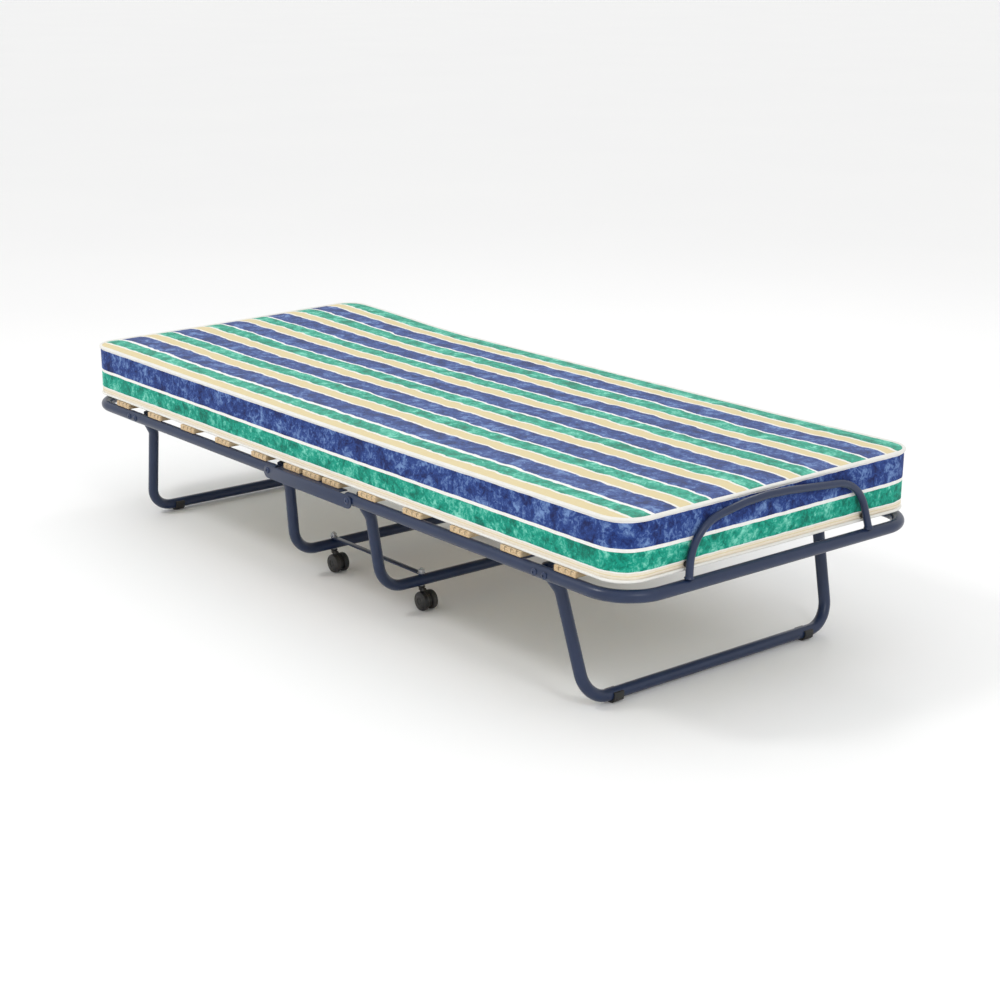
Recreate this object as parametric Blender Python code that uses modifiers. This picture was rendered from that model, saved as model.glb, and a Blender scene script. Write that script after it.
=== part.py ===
"""Folding cot on castors: a hinged tube frame with wooden slats and a foam mattress.

The two halves of the bed hinge on a short centre section, which stands on four castors and
stays level while the halves fold up.  A tube leg folds in under each half, and a low tube arch
at the head end keeps the mattress in place.

Metres, +Z up.  X runs along the bed (the head end is +X) and Y across it.  The origin lies on
the floor, below the middle of the bed.
"""
import math

import bmesh
import bpy
from mathutils import Matrix, Vector

# ---------------------------------------------------------------- driving dimensions
GAP = 0.0003                # clearance between neighbouring pieces

TUBE_R = 0.0125             # main tube, 25 mm outside
FRAME_L = 1.953             # bed frame, between the end tubes' centres
FRAME_W = 0.805             # bed frame, between the side rails' centres
FRAME_BEND_R = 0.088        # centreline radius of the frame's corners
RAIL_Z = 0.2725              # height of the rails' centres
FOLD_X = 0.151              # fold pivots, each side of the middle
RAIL_TAIL = 0.018           # rail beyond its fold pivot

PLATE_T = 0.0025            # side plate's sheet thickness
PLATE_H = 0.030             # side plate's height
FLANGE_W = 0.022            # inward flange that carries the centre slats
FLANGE_HALF_L = 0.120       # half the flange's length

SLAT_T = 0.012
SLAT_W = 0.060
SLAT_L = 0.812
CENTRE_SLAT_PITCH = 0.074
OUTER_SLAT_X = 0.205        # first slat on each half
OUTER_SLAT_PITCH = 0.154
OUTER_SLATS = 5

MATTRESS_HEAD_X = 0.969     # its end at the arch
MATTRESS_FOOT_X = -0.9775   # its other end
MATTRESS_W = 0.804
MATTRESS_T = 0.122
MATTRESS_CORNER_R = 0.062
MATTRESS_SPLIT_X = 0.180    # the centre third gives way beyond this when the bed folds

LEG_TOP_Y = 0.3772          # leg tube's centre beside the rail
LEG_NECK_Y = 0.3580         # where the neck joins the straight upright
LEG_FOOT_Y = 0.3390         # upright's line at the height of its crossbar
LEG_NECK_DROP = 0.045       # from the pivot down to the neck's end
LEG_TOP_RISE = 0.010        # tube above the pivot
LEG_BEND_R = 0.060
NECK_BEND_R = 0.035

END_LEG_X = 0.746           # end legs' pivots
END_LEG_SPLAY = math.radians(15.0)
STOP_OFFSET = 0.028         # stop rivet, outboard of the pivot
FOOT_T = 0.004              # shoe's sole below the crossbar
FOOT_Y = 0.268
FOOT_L = 0.024

CENTRE_LEG_SPLAY = math.radians(4.0)
CENTRE_BAR_Z = 0.0635        # centre legs' crossbars
CASTOR_Y = 0.234

TIE_W = 0.014               # flat bar that joins the two centre legs
TIE_T = 0.003
WHEEL_R = 0.0215
WHEEL_W = 0.014
WHEEL_SPACING = 0.024       # between the two wheels' middles
AXLE_R = 0.003
CASTOR_TRAIL = 0.016
STEM_R = 0.004
HOLE_R = STEM_R + GAP

RIVET_R = 0.004
RIVET_HEAD_R = 0.0075
RIVET_HEAD_T = 0.003

ARCH_R = 0.0075
ARCH_OUT = 0.004            # its plane, outboard of the end rail's centre
ARCH_FOOT_Y = 0.2465
ARCH_SHOULDER_Y = 0.228
ARCH_TOP_Z = 0.404
ARCH_BEND_R = 0.080
BUFFER_R = 0.006
BUFFER_Z = 0.312

# ---------------------------------------------------------------- places that follow from them
SLAT_Z = RAIL_Z + TUBE_R + GAP              # underside of the slats
MATTRESS_Z = SLAT_Z + SLAT_T + GAP          # underside of the mattress
PLATE_INNER_Y = FRAME_W / 2 + TUBE_R + GAP
PLATE_OUTER_Y = PLATE_INNER_Y + PLATE_T
END_BAR_Z = TUBE_R + FOOT_T
CENTRE_LEG_DROP = (RAIL_Z - CENTRE_BAR_Z) / math.cos(CENTRE_LEG_SPLAY)
END_LEG_DROP = (RAIL_Z - END_BAR_Z) / math.cos(END_LEG_SPLAY)
CENTRE_BAR_X = FOLD_X + (RAIL_Z - CENTRE_BAR_Z) * math.tan(CENTRE_LEG_SPLAY)
END_BAR_X = END_LEG_X + (RAIL_Z - END_BAR_Z) * math.tan(END_LEG_SPLAY)
TIE_Z = CENTRE_BAR_Z + TUBE_R + GAP         # underside of the tie bars

SIDES = {"left": -1, "right": 1}            # along X
EDGES = {"near": -1, "far": 1}              # across, Y


# ---------------------------------------------------------------- scene helpers
def clear_scene():
    """Remove every object of the scene the script runs in."""
    for thing in list(bpy.data.objects):
        bpy.data.objects.remove(thing, do_unlink=True)


def new_collection(name):
    """Make a collection and link it to the scene."""
    made = bpy.data.collections.new(name)
    bpy.context.scene.collection.children.link(made)
    return made


def new_material(name, colour, roughness, metallic=0.0):
    """A plain Principled finish."""
    made = bpy.data.materials.new(name)
    made.use_nodes = True
    made.diffuse_color = (*colour, 1.0)
    shader = made.node_tree.nodes["Principled BSDF"]
    shader.inputs["Base Color"].default_value = (*colour, 1.0)
    shader.inputs["Roughness"].default_value = roughness
    shader.inputs["Metallic"].default_value = metallic
    return made


def add_object(name, mesh, material, parent=None):
    """Put a mesh in the cot's collection under its node name."""
    mesh.materials.clear()
    mesh.materials.append(material)
    thing = bpy.data.objects.new(name, mesh)
    COT.objects.link(thing)
    if parent is not None:
        thing.parent = parent
        thing.matrix_parent_inverse = Matrix.Translation(parent.location).inverted()
    return thing


def pivot(name, place):
    """An empty on a joint's axis, the parent of what turns about it."""
    marker = bpy.data.objects.new(name, None)
    marker.location = place
    marker.empty_display_size = 0.03
    COT.objects.link(marker)
    return marker


def evaluated_mesh(thing):
    """The object's mesh with its modifiers applied, in world space, caps welded."""
    bpy.context.view_layer.update()
    ready = thing.evaluated_get(bpy.context.evaluated_depsgraph_get())
    mesh = bpy.data.meshes.new_from_object(ready)
    mesh.transform(thing.matrix_world)
    cage = bmesh.new()
    cage.from_mesh(mesh)
    bmesh.ops.remove_doubles(cage, verts=cage.verts, dist=0.00001)
    cage.to_mesh(mesh)
    cage.free()
    return mesh


def shade_round(thing, angle=35.0):
    """Smooth shading with the sharp edges kept."""
    thing.data.shade_smooth()
    thing.data.set_sharp_from_angle(angle=math.radians(angle))
    return thing


# ---------------------------------------------------------------- shapes
def rounded_path(corners, radii, step=math.radians(15.0)):
    """Points along a polyline whose inner corners are arcs of the given radii."""
    points = [Vector(corners[0])]
    for before, corner, after, radius in zip(corners, corners[1:-1], corners[2:], radii):
        corner = Vector(corner)
        back = (Vector(before) - corner).normalized()
        ahead = (Vector(after) - corner).normalized()
        half = back.angle(ahead) / 2
        centre = corner + (back + ahead).normalized() * (radius / math.sin(half))
        first = corner + back * (radius / math.tan(half)) - centre
        last = corner + ahead * (radius / math.tan(half)) - centre
        sweep = first.angle(last)
        count = max(2, round(sweep / step))
        for index in range(count + 1):
            turn = sweep * index / count
            arm = first * math.sin(sweep - turn) + last * math.sin(turn)
            points.append(centre + arm / math.sin(sweep))
    points.append(Vector(corners[-1]))
    return points


def tube(name, points, radius, material, parent=None, resolution=6):
    """A bent round tube through the points, as a closed mesh."""
    curve = bpy.data.curves.new(name + "_path", "CURVE")
    curve.dimensions = "3D"
    curve.bevel_depth = radius
    curve.bevel_resolution = resolution
    curve.use_fill_caps = True
    curve.twist_mode = "MINIMUM"
    spline = curve.splines.new("POLY")
    spline.points.add(len(points) - 1)
    for target, place in zip(spline.points, points):
        target.co = (*place, 1.0)
    guide = bpy.data.objects.new(name + "_path", curve)
    COT.objects.link(guide)
    mesh = evaluated_mesh(guide)
    bpy.data.objects.remove(guide, do_unlink=True)
    return shade_round(add_object(name, mesh, material, parent))


def flat_outline(name, outline, half_thickness, matrix, material, parent=None):
    """A flat shape cut to an outline and given its thickness, placed by the matrix."""
    curve = bpy.data.curves.new(name + "_outline", "CURVE")
    curve.dimensions = "2D"
    curve.fill_mode = "BOTH"
    curve.extrude = half_thickness
    spline = curve.splines.new("POLY")
    spline.points.add(len(outline) - 1)
    for target, (across, up) in zip(spline.points, outline):
        target.co = (across, up, 0.0, 1.0)
    spline.use_cyclic_u = True
    guide = bpy.data.objects.new(name + "_outline", curve)
    guide.matrix_world = matrix
    COT.objects.link(guide)
    mesh = evaluated_mesh(guide)
    bpy.data.objects.remove(guide, do_unlink=True)
    return add_object(name, mesh, material, parent)


def box(name, low, high, material, parent=None, edge=0.0):
    """A box between two corners, its edges eased by a Bevel modifier."""
    low, high = Vector(low), Vector(high)
    cage = bmesh.new()
    bmesh.ops.create_cube(cage, size=1.0)
    bmesh.ops.scale(cage, vec=high - low, verts=cage.verts)
    bmesh.ops.translate(cage, vec=(low + high) / 2, verts=cage.verts)
    mesh = bpy.data.meshes.new(name)
    cage.to_mesh(mesh)
    cage.free()
    thing = add_object(name, mesh, material, parent)
    if edge > 0:
        bevel = thing.modifiers.new("eased edges", "BEVEL")
        bevel.width = edge
        bevel.segments = 2
    return thing


def turned(name, profile, place, axis, material, parent=None, steps=12):
    """A lathe-turned solid: (radius, height) pairs from pole to pole, top first."""
    mesh = bpy.data.meshes.new(name + "_profile")
    mesh.from_pydata([(radius, 0.0, height) for radius, height in profile],
                     [(index, index + 1) for index in range(len(profile) - 1)], [])
    guide = bpy.data.objects.new(name + "_profile", mesh)
    COT.objects.link(guide)
    screw = guide.modifiers.new("turn", "SCREW")
    screw.steps = steps
    screw.render_steps = steps
    screw.use_merge_vertices = True
    screw.merge_threshold = 0.00001
    guide.matrix_world = Matrix.Translation(place) @ Vector((0, 0, 1)).rotation_difference(
        Vector(axis)).to_matrix().to_4x4()
    solid = evaluated_mesh(guide)
    bpy.data.objects.remove(guide, do_unlink=True)
    return shade_round(add_object(name, solid, material, parent))


def cylinder_cutter(name, place, axis, radius, length, sides=16):
    """A round cutter, kept out of renders and drawn as wire."""
    cage = bmesh.new()
    bmesh.ops.create_cone(cage, cap_ends=True, segments=sides, radius1=radius,
                          radius2=radius, depth=length)
    mesh = bpy.data.meshes.new(name)
    cage.to_mesh(mesh)
    cage.free()
    cutter = bpy.data.objects.new(name, mesh)
    cutter.matrix_world = Matrix.Translation(place) @ Vector((0, 0, 1)).rotation_difference(
        Vector(axis)).to_matrix().to_4x4()
    cutter.hide_render = True
    cutter.display_type = "WIRE"
    CUTTERS.objects.link(cutter)
    return cutter


def bore(thing, place, axis, radius, length):
    """Drill a round hole through a piece."""
    cutter = cylinder_cutter(f"{thing.name}_bore{len(thing.modifiers)}", place, axis, radius, length)
    cut = thing.modifiers.new("bore", "BOOLEAN")
    cut.operation = "DIFFERENCE"
    cut.object = cutter
    return thing


def weld_on(thing, other):
    """Join another piece to this one, and put the joining piece with the cutters."""
    join = thing.modifiers.new("weld", "BOOLEAN")
    join.operation = "UNION"
    join.object = other
    COT.objects.unlink(other)
    CUTTERS.objects.link(other)
    other.hide_render = True
    other.display_type = "WIRE"
    return thing


def rivet_profile(length):
    """A domed head, a shank of the given length and a flat upset end, head upwards."""
    head, upset = RIVET_HEAD_R, RIVET_HEAD_R * 0.9
    return [(0, RIVET_HEAD_T), (head * 0.62, RIVET_HEAD_T * 0.8), (head, RIVET_HEAD_T * 0.15),
            (head, 0), (RIVET_R, 0), (RIVET_R, -length), (upset, -length),
            (upset, -length - RIVET_HEAD_T * 0.6), (0, -length - RIVET_HEAD_T * 0.7)]


def rivet(name, x, edge, outer_y, inner_y, material, parent=None):
    """A rivet across the rail at x, its domed head outside."""
    place = Vector((x, edge * (outer_y + GAP), RAIL_Z))
    length = outer_y - inner_y + 2 * GAP
    return turned(name, rivet_profile(length), place, (0, edge, 0), material, parent)


# ---------------------------------------------------------------- the frame's pieces
def u_leg(name, side, pivot_x, splay, drop, material, parent=None):
    """A U of tube that hangs from the rails and leans outwards, bored for its two pivots."""
    down = Vector((side * math.sin(splay), 0, -math.cos(splay)))
    top = Vector((side * pivot_x, 0, RAIL_Z))

    def at(y, fall):
        return top + down * fall + Vector((0, y, 0))

    one_side = [(LEG_TOP_Y, -LEG_TOP_RISE), (LEG_TOP_Y, LEG_NECK_DROP * 0.35),
                (LEG_NECK_Y, LEG_NECK_DROP), (LEG_FOOT_Y, drop)]
    corners = [at(-y, fall) for y, fall in one_side] + [at(y, fall) for y, fall in reversed(one_side)]
    radii = [NECK_BEND_R, NECK_BEND_R, LEG_BEND_R, LEG_BEND_R, NECK_BEND_R, NECK_BEND_R]
    leg = tube(name, rounded_path(corners, radii), TUBE_R, material, parent)
    return bore(leg, top, (0, 1, 0), HOLE_R, FRAME_W)


def make_side_plate(edge_name, edge):
    """Sheet plate outside the rails, with an inward flange under the centre slats."""
    half = PLATE_H / 2
    outline = []
    for centre_x, start in ((FOLD_X, -90), (-FOLD_X, 90)):
        for step in range(9):
            turn = math.radians(start + step * 180 / 8)
            outline.append((centre_x + half * math.cos(turn), half * math.sin(turn)))
    middle_y = edge * (PLATE_INNER_Y + PLATE_T / 2)
    centre_z = RAIL_Z + TUBE_R - half
    upright = Matrix.Translation((0, middle_y, centre_z)) @ Matrix.Rotation(math.pi / 2, 4, "X")
    plate = flat_outline(f"side_plate_{edge_name}", outline, PLATE_T / 2, upright, STEEL)
    inner = edge * (PLATE_INNER_Y - FLANGE_W)
    outer = edge * (PLATE_INNER_Y + PLATE_T * 0.5)
    flange = box(f"flange_{edge_name}",
                 (-FLANGE_HALF_L, min(inner, outer), RAIL_Z + TUBE_R - PLATE_T),
                 (FLANGE_HALF_L, max(inner, outer), RAIL_Z + TUBE_R), STEEL)
    weld_on(plate, flange)
    for side in SIDES.values():
        bore(plate, (side * FOLD_X, middle_y, RAIL_Z), (0, 1, 0), HOLE_R, 4 * PLATE_T)


def make_centre_section():
    """The part that stays on its castors: plates, two legs, tie bars and castor nuts."""
    for edge_name, edge in EDGES.items():
        make_side_plate(edge_name, edge)
        tie_end = CENTRE_BAR_X + TIE_W / 2
        tie = box(f"tie_bar_{edge_name}",
                  (-tie_end, edge * CASTOR_Y - TIE_W / 2, TIE_Z),
                  (tie_end, edge * CASTOR_Y + TIE_W / 2, TIE_Z + TIE_T), STEEL)
        for side in SIDES.values():
            bore(tie, (side * CENTRE_BAR_X, edge * CASTOR_Y, TIE_Z), (0, 0, 1), HOLE_R, 0.03)
    for side_name, side in SIDES.items():
        leg = u_leg(f"centre_leg_{side_name}", side, FOLD_X, CENTRE_LEG_SPLAY,
                    CENTRE_LEG_DROP, STEEL)
        for edge_name, edge in EDGES.items():
            bore(leg, (side * CENTRE_BAR_X, edge * CASTOR_Y, CENTRE_BAR_Z), (0, 0, 1), HOLE_R, 0.05)
            make_castor(side_name, side, edge_name, edge)
            rivet(f"fold_rivet_{side_name}_{edge_name}", side * FOLD_X, edge, PLATE_OUTER_Y,
                  LEG_TOP_Y - TUBE_R, BRIGHT)
    for index, label in ((-1, "left"), (0, "middle"), (1, "right")):
        make_slat(f"centre_slat_{label}", index * CENTRE_SLAT_PITCH)


def make_slat(name, x, parent=None):
    """A wooden slat across the rails."""
    return box(name, (x - SLAT_W / 2, -SLAT_L / 2, SLAT_Z),
               (x + SLAT_W / 2, SLAT_L / 2, SLAT_Z + SLAT_T), WOOD, parent, edge=0.0015)


def make_castor(side_name, side, edge_name, edge):
    """A twin-wheel castor whose threaded stem passes up through the leg and the tie bar."""
    stem_x, stem_y = side * CENTRE_BAR_X, edge * CASTOR_Y
    label = f"{side_name}_{edge_name}"
    swivel = pivot(f"castor_swivel_{label}", (stem_x, stem_y, 0))
    axle_x = stem_x + CASTOR_TRAIL
    boss_top = CENTRE_BAR_Z - TUBE_R - 0.0015
    boss_low = WHEEL_R * 2
    web_t = WHEEL_SPACING - WHEEL_W - 0.002
    nut_top = TIE_Z + TIE_T + 0.0075
    stem = [(0, nut_top + 0.002), (STEM_R, nut_top + 0.001), (STEM_R, boss_top), (0.007, boss_top),
            (0.007, boss_low), (0, boss_low)]
    body = turned(f"castor_body_{label}", stem, (stem_x, stem_y, 0), (0, 0, 1), BLACK, swivel)
    web_outline = [(0.0055 * math.cos(turn), boss_low + 0.004) for turn in (math.pi, 0)]
    for step in range(11):
        turn = math.radians(60 - step * 24)
        web_outline.append((CASTOR_TRAIL + 0.0165 * math.cos(turn), WHEEL_R + 0.0165 * math.sin(turn)))
    upright = Matrix.Translation((stem_x, stem_y, 0)) @ Matrix.Rotation(math.pi / 2, 4, "X")
    web = flat_outline(f"web_{label}", web_outline, web_t / 2, upright, BLACK)
    weld_on(body, web)
    bore(body, (axle_x, stem_y, WHEEL_R), (0, 1, 0), AXLE_R + GAP, 0.03)

    roller = pivot(f"castor_axle_{label}", (axle_x, stem_y, WHEEL_R))
    near_face = WHEEL_SPACING / 2 - WHEEL_W / 2
    far_face = WHEEL_SPACING / 2 + WHEEL_W / 2
    rim = WHEEL_R - 0.002
    half = [(0, far_face - 0.001), (0.009, far_face - 0.001), (0.011, far_face), (rim, far_face),
            (WHEEL_R, far_face - 0.002), (WHEEL_R, near_face + 0.002), (rim, near_face),
            (AXLE_R, near_face)]
    profile = half + [(radius, -height) for radius, height in reversed(half)]
    turned(f"castor_wheels_{label}", profile, (axle_x, stem_y, WHEEL_R), (0, 1, 0), BLACK,
           roller, steps=20)

    low, high = TIE_Z + TIE_T + GAP, nut_top
    flats = [(0.0072 * math.cos(math.radians(60 * k)), 0.0072 * math.sin(math.radians(60 * k)))
             for k in range(6)]
    nut = flat_outline(f"castor_nut_{label}", flats, (high - low) / 2,
                       Matrix.Translation((stem_x, stem_y, (low + high) / 2)), BRIGHT)
    bore(nut, (stem_x, stem_y, high), (0, 0, 1), HOLE_R, 0.03)


def make_half(side_name, side):
    """One folding half: a U of rail, its slats, its leg and the leg's rivets."""
    hinge = pivot(f"{side_name}_half_fold", (side * FOLD_X, 0, RAIL_Z))
    end_x, rail_y = side * FRAME_L / 2, FRAME_W / 2
    start_x = side * (FOLD_X - RAIL_TAIL)
    corners = [(start_x, -rail_y, RAIL_Z), (end_x, -rail_y, RAIL_Z),
               (end_x, rail_y, RAIL_Z), (start_x, rail_y, RAIL_Z)]
    rail = tube(f"{side_name}_frame", rounded_path(corners, [FRAME_BEND_R] * 2), TUBE_R, STEEL, hinge)
    stop_x = END_LEG_X + STOP_OFFSET
    for x in (FOLD_X, END_LEG_X, stop_x):
        bore(rail, (side * x, 0, RAIL_Z), (0, 1, 0), HOLE_R, FRAME_W + 0.1)
    for index in range(OUTER_SLATS):
        x = side * (OUTER_SLAT_X + index * OUTER_SLAT_PITCH)
        make_slat(f"{side_name}_slat_{index + 1}", x, hinge)
    rail_face = rail_y + TUBE_R
    for edge_name, edge in EDGES.items():
        rivet(f"leg_pivot_{side_name}_{edge_name}", side * END_LEG_X, edge, rail_face,
              LEG_TOP_Y - TUBE_R, BRIGHT, hinge)
        rivet(f"leg_stop_{side_name}_{edge_name}", side * stop_x, edge, rail_face,
              rail_y - TUBE_R, BRIGHT, hinge)
    make_end_leg(side_name, side)
    return hinge


def make_end_leg(side_name, side):
    """The folding leg of one half, with a moulded shoe near each end of its crossbar."""
    leg_pivot = pivot(f"{side_name}_leg_fold", (side * END_LEG_X, 0, RAIL_Z))
    u_leg(f"{side_name}_leg", side, END_LEG_X, END_LEG_SPLAY, END_LEG_DROP, STEEL, leg_pivot)
    inner_r, outer_r = TUBE_R + GAP, TUBE_R + FOOT_T
    outline = [(-0.011, -END_BAR_Z), (0.011, -END_BAR_Z), (outer_r, -0.010)]
    outline += [(outer_r * math.cos(math.radians(a)), outer_r * math.sin(math.radians(a)))
                for a in (0, 12, 24)]
    outline += [(inner_r * math.cos(math.radians(a)), inner_r * math.sin(math.radians(a)))
                for a in range(24, -205, -19)]
    outline += [(outer_r * math.cos(math.radians(a)), outer_r * math.sin(math.radians(a)))
                for a in (156, 168, 180)]
    outline.append((-outer_r, -0.010))
    for edge_name, edge in EDGES.items():
        place = Matrix.Translation((side * END_BAR_X, edge * FOOT_Y, END_BAR_Z))
        shoe = flat_outline(f"{side_name}_foot_{edge_name}", outline, FOOT_L / 2,
                            place @ Matrix.Rotation(math.pi / 2, 4, "X"), BLACK, leg_pivot)
        shade_round(shoe, 30.0)


def make_arch(parent):
    """Thin tube arch welded on the head end's rail, with a rubber buffer on each upright."""
    x = FRAME_L / 2 + ARCH_OUT
    tilt = math.atan2(ARCH_FOOT_Y - ARCH_SHOULDER_Y, ARCH_TOP_Z - RAIL_Z - TUBE_R)
    foot_z = RAIL_Z + TUBE_R + GAP + ARCH_R * math.sin(tilt)
    corners = [(x, -ARCH_FOOT_Y, foot_z), (x, -ARCH_SHOULDER_Y, ARCH_TOP_Z),
               (x, ARCH_SHOULDER_Y, ARCH_TOP_Z), (x, ARCH_FOOT_Y, foot_z)]
    tube("head_arch", rounded_path(corners, [ARCH_BEND_R] * 2, math.radians(12)), ARCH_R,
         STEEL, parent)
    inset = (BUFFER_Z - foot_z) * math.tan(tilt)
    back = x - ARCH_R - GAP
    front = MATTRESS_HEAD_X + GAP
    for edge_name, edge in EDGES.items():
        face = [(0, 0), (BUFFER_R * 0.8, 0), (BUFFER_R, -0.001), (BUFFER_R, front - back), (0, front - back)]
        turned(f"arch_buffer_{edge_name}", face, (back, edge * (ARCH_FOOT_Y - inset), BUFFER_Z),
               (1, 0, 0), BLACK, parent)


# ---------------------------------------------------------------- the mattress
def mattress_outline(start, end):
    """Plan of a length of mattress; the end away from the middle has rounded corners."""
    side = 1 if end > start else -1
    half_w, radius = MATTRESS_W / 2, MATTRESS_CORNER_R
    outline = [(start, -half_w * side)]
    for corner_y, first in ((-half_w, -90), (half_w, 0)):
        centre_y = side * (corner_y - math.copysign(radius, corner_y))
        for step in range(7):
            turn = math.radians(first + step * 15)
            outline.append((end - side * radius + side * radius * math.cos(turn),
                            centre_y + side * radius * math.sin(turn)))
    outline.append((start, half_w * side))
    return outline


def make_mattress(halves):
    """The mattress in three lengths: one on each half, and the centre that gives as it folds."""
    middle = Matrix.Translation((0, 0, MATTRESS_Z + MATTRESS_T / 2))
    for side_name, side in SIDES.items():
        end = MATTRESS_HEAD_X if side > 0 else MATTRESS_FOOT_X
        outline = mattress_outline(side * MATTRESS_SPLIT_X, end)
        flat_outline(f"mattress_{side_name}", outline, MATTRESS_T / 2, middle, TICKING,
                     halves[side_name])
    reach = MATTRESS_SPLIT_X - GAP
    box("mattress_centre", (-reach, -MATTRESS_W / 2, MATTRESS_Z),
        (reach, MATTRESS_W / 2, MATTRESS_Z + MATTRESS_T), TICKING)


clear_scene()
COT = new_collection("folding_cot")
CUTTERS = new_collection("cutters")
STEEL = new_material("blue powder coated steel", (0.09, 0.13, 0.22), 0.4, 0.3)
WOOD = new_material("beech slats", (0.74, 0.55, 0.33), 0.6)
TICKING = new_material("striped ticking", (0.10, 0.20, 0.45), 0.9)
BLACK = new_material("black nylon", (0.02, 0.02, 0.02), 0.5)
BRIGHT = new_material("bright zinc", (0.62, 0.63, 0.65), 0.3, 1.0)

make_centre_section()
halves = {side_name: make_half(side_name, side) for side_name, side in SIDES.items()}
make_arch(halves["right"])
make_mattress(halves)
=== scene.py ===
"""Looks of a folding cot: bent steel tube, beech slats, castors and a striped foam mattress.

Every sub-assembly is a class that holds its own sizes.  Metres, +Z up.  X runs along the bed, with
the arch at the +X end, and Y runs across it.
"""

import logging
import math
from collections.abc import Callable, Sequence
from dataclasses import dataclass
from enum import Enum

import bmesh
import bpy
import numpy as np
from mathutils import Matrix, Vector, noise


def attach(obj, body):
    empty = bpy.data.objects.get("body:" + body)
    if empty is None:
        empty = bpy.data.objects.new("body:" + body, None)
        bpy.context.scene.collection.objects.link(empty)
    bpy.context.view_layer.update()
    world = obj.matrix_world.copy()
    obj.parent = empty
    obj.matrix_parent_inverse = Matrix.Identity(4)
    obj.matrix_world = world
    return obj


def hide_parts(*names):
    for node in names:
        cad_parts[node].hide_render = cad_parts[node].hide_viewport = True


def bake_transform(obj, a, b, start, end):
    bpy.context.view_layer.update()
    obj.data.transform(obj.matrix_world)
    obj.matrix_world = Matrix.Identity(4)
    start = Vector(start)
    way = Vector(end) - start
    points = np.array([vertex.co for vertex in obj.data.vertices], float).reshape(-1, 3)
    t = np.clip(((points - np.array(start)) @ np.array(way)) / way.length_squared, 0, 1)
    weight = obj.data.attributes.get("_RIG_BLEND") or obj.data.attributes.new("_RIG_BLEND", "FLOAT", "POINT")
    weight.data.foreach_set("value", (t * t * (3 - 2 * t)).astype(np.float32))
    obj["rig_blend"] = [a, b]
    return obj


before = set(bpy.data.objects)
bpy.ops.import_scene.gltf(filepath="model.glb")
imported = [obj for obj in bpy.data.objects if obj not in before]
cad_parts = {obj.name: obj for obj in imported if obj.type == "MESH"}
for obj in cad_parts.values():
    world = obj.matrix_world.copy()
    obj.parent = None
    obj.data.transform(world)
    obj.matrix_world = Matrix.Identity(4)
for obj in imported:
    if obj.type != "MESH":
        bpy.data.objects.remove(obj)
log = logging.getLogger("folding_cot")

Colour = tuple[float, float, float]
Place = tuple[float, float, float]
Thing = bpy.types.Object

CLOTH_PLACE = "cloth_place"  # the attribute that holds where each cloth point lay when flat
KIT_WEIGHTS = "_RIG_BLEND"


class Side(Enum):
    """The two folding halves, by their direction along X."""

    LEFT = -1
    RIGHT = 1

    @property
    def label(self) -> str:
        """The half's name as the frame's nodes use it."""
        return self.name.lower()


class Edge(Enum):
    """The two long edges of the bed, by their direction along Y."""

    NEAR = -1
    FAR = 1

    @property
    def label(self) -> str:
        """The edge's name as the frame's nodes use it."""
        return self.name.lower()


# ---------------------------------------------------------------- bench work
def stand_back() -> None:
    """Leave edit mode and select nothing."""
    if bpy.context.mode != "OBJECT":
        bpy.ops.object.mode_set(mode="OBJECT")
    bpy.ops.object.select_all(action="DESELECT")


def take_up(thing: Thing) -> Thing:
    """Make one object the active and only selected one.

    Args:
        thing: The object to work on.

    Returns:
        The same object.
    """
    stand_back()
    thing.select_set(True)
    bpy.context.view_layer.objects.active = thing
    return thing


def open_mesh(thing: Thing) -> None:
    """Enter edit mode on an object with everything selected.

    Args:
        thing: The object to edit.
    """
    take_up(thing)
    bpy.ops.object.mode_set(mode="EDIT")
    bpy.ops.mesh.select_all(action="SELECT")


def pick_faces(thing: Thing, test: Callable[[bmesh.types.BMFace], bool]) -> int:
    """Select the faces that pass a test, in edit mode.

    Args:
        thing: The object being edited.
        test: Tells whether a face is wanted.

    Returns:
        How many faces were selected.
    """
    bpy.ops.mesh.select_mode(type="FACE")
    bpy.ops.mesh.select_all(action="DESELECT")
    mesh = bmesh.from_edit_mesh(thing.data)
    wanted = [face for face in mesh.faces if test(face)]
    for face in wanted:
        face.select_set(True)
    bmesh.update_edit_mesh(thing.data)
    return len(wanted)


def pick_edges(thing: Thing, test: Callable[[Vector, Vector], bool]) -> int:
    """Select the edges whose two ends pass a test, in edit mode.

    Args:
        thing: The object being edited.
        test: Takes the edge's two end points and tells whether it is wanted.

    Returns:
        How many edges were selected.
    """
    bpy.ops.mesh.select_mode(type="EDGE")
    bpy.ops.mesh.select_all(action="DESELECT")
    mesh = bmesh.from_edit_mesh(thing.data)
    wanted = [edge for edge in mesh.edges if test(edge.verts[0].co, edge.verts[1].co)]
    for edge in wanted:
        edge.select_set(True)
    bmesh.update_edit_mesh(thing.data)
    return len(wanted)


def close_up(thing: Thing, outward: bool = True) -> Thing:
    """Merge doubles, turn the faces outwards and leave edit mode.

    Args:
        thing: The object being edited.
        outward: Whether the normals are worked out afresh.

    Returns:
        The same object.
    """
    bpy.ops.mesh.select_mode(type="VERT")
    bpy.ops.mesh.select_all(action="SELECT")
    bpy.ops.mesh.remove_doubles(threshold=0.00001)
    if outward:
        bpy.ops.mesh.normals_make_consistent(inside=False)
    bpy.ops.object.mode_set(mode="OBJECT")
    return thing


def settle(thing: Thing) -> Thing:
    """Apply the object's modifiers and its place, turn and scale, so the mesh holds them all.

    Args:
        thing: The object.

    Returns:
        The same object.
    """
    take_up(thing)
    for modifier in list(thing.modifiers):
        bpy.ops.object.modifier_apply(modifier=modifier.name)
    bpy.ops.object.transform_apply(location=True, rotation=True, scale=True)
    return thing


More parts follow.
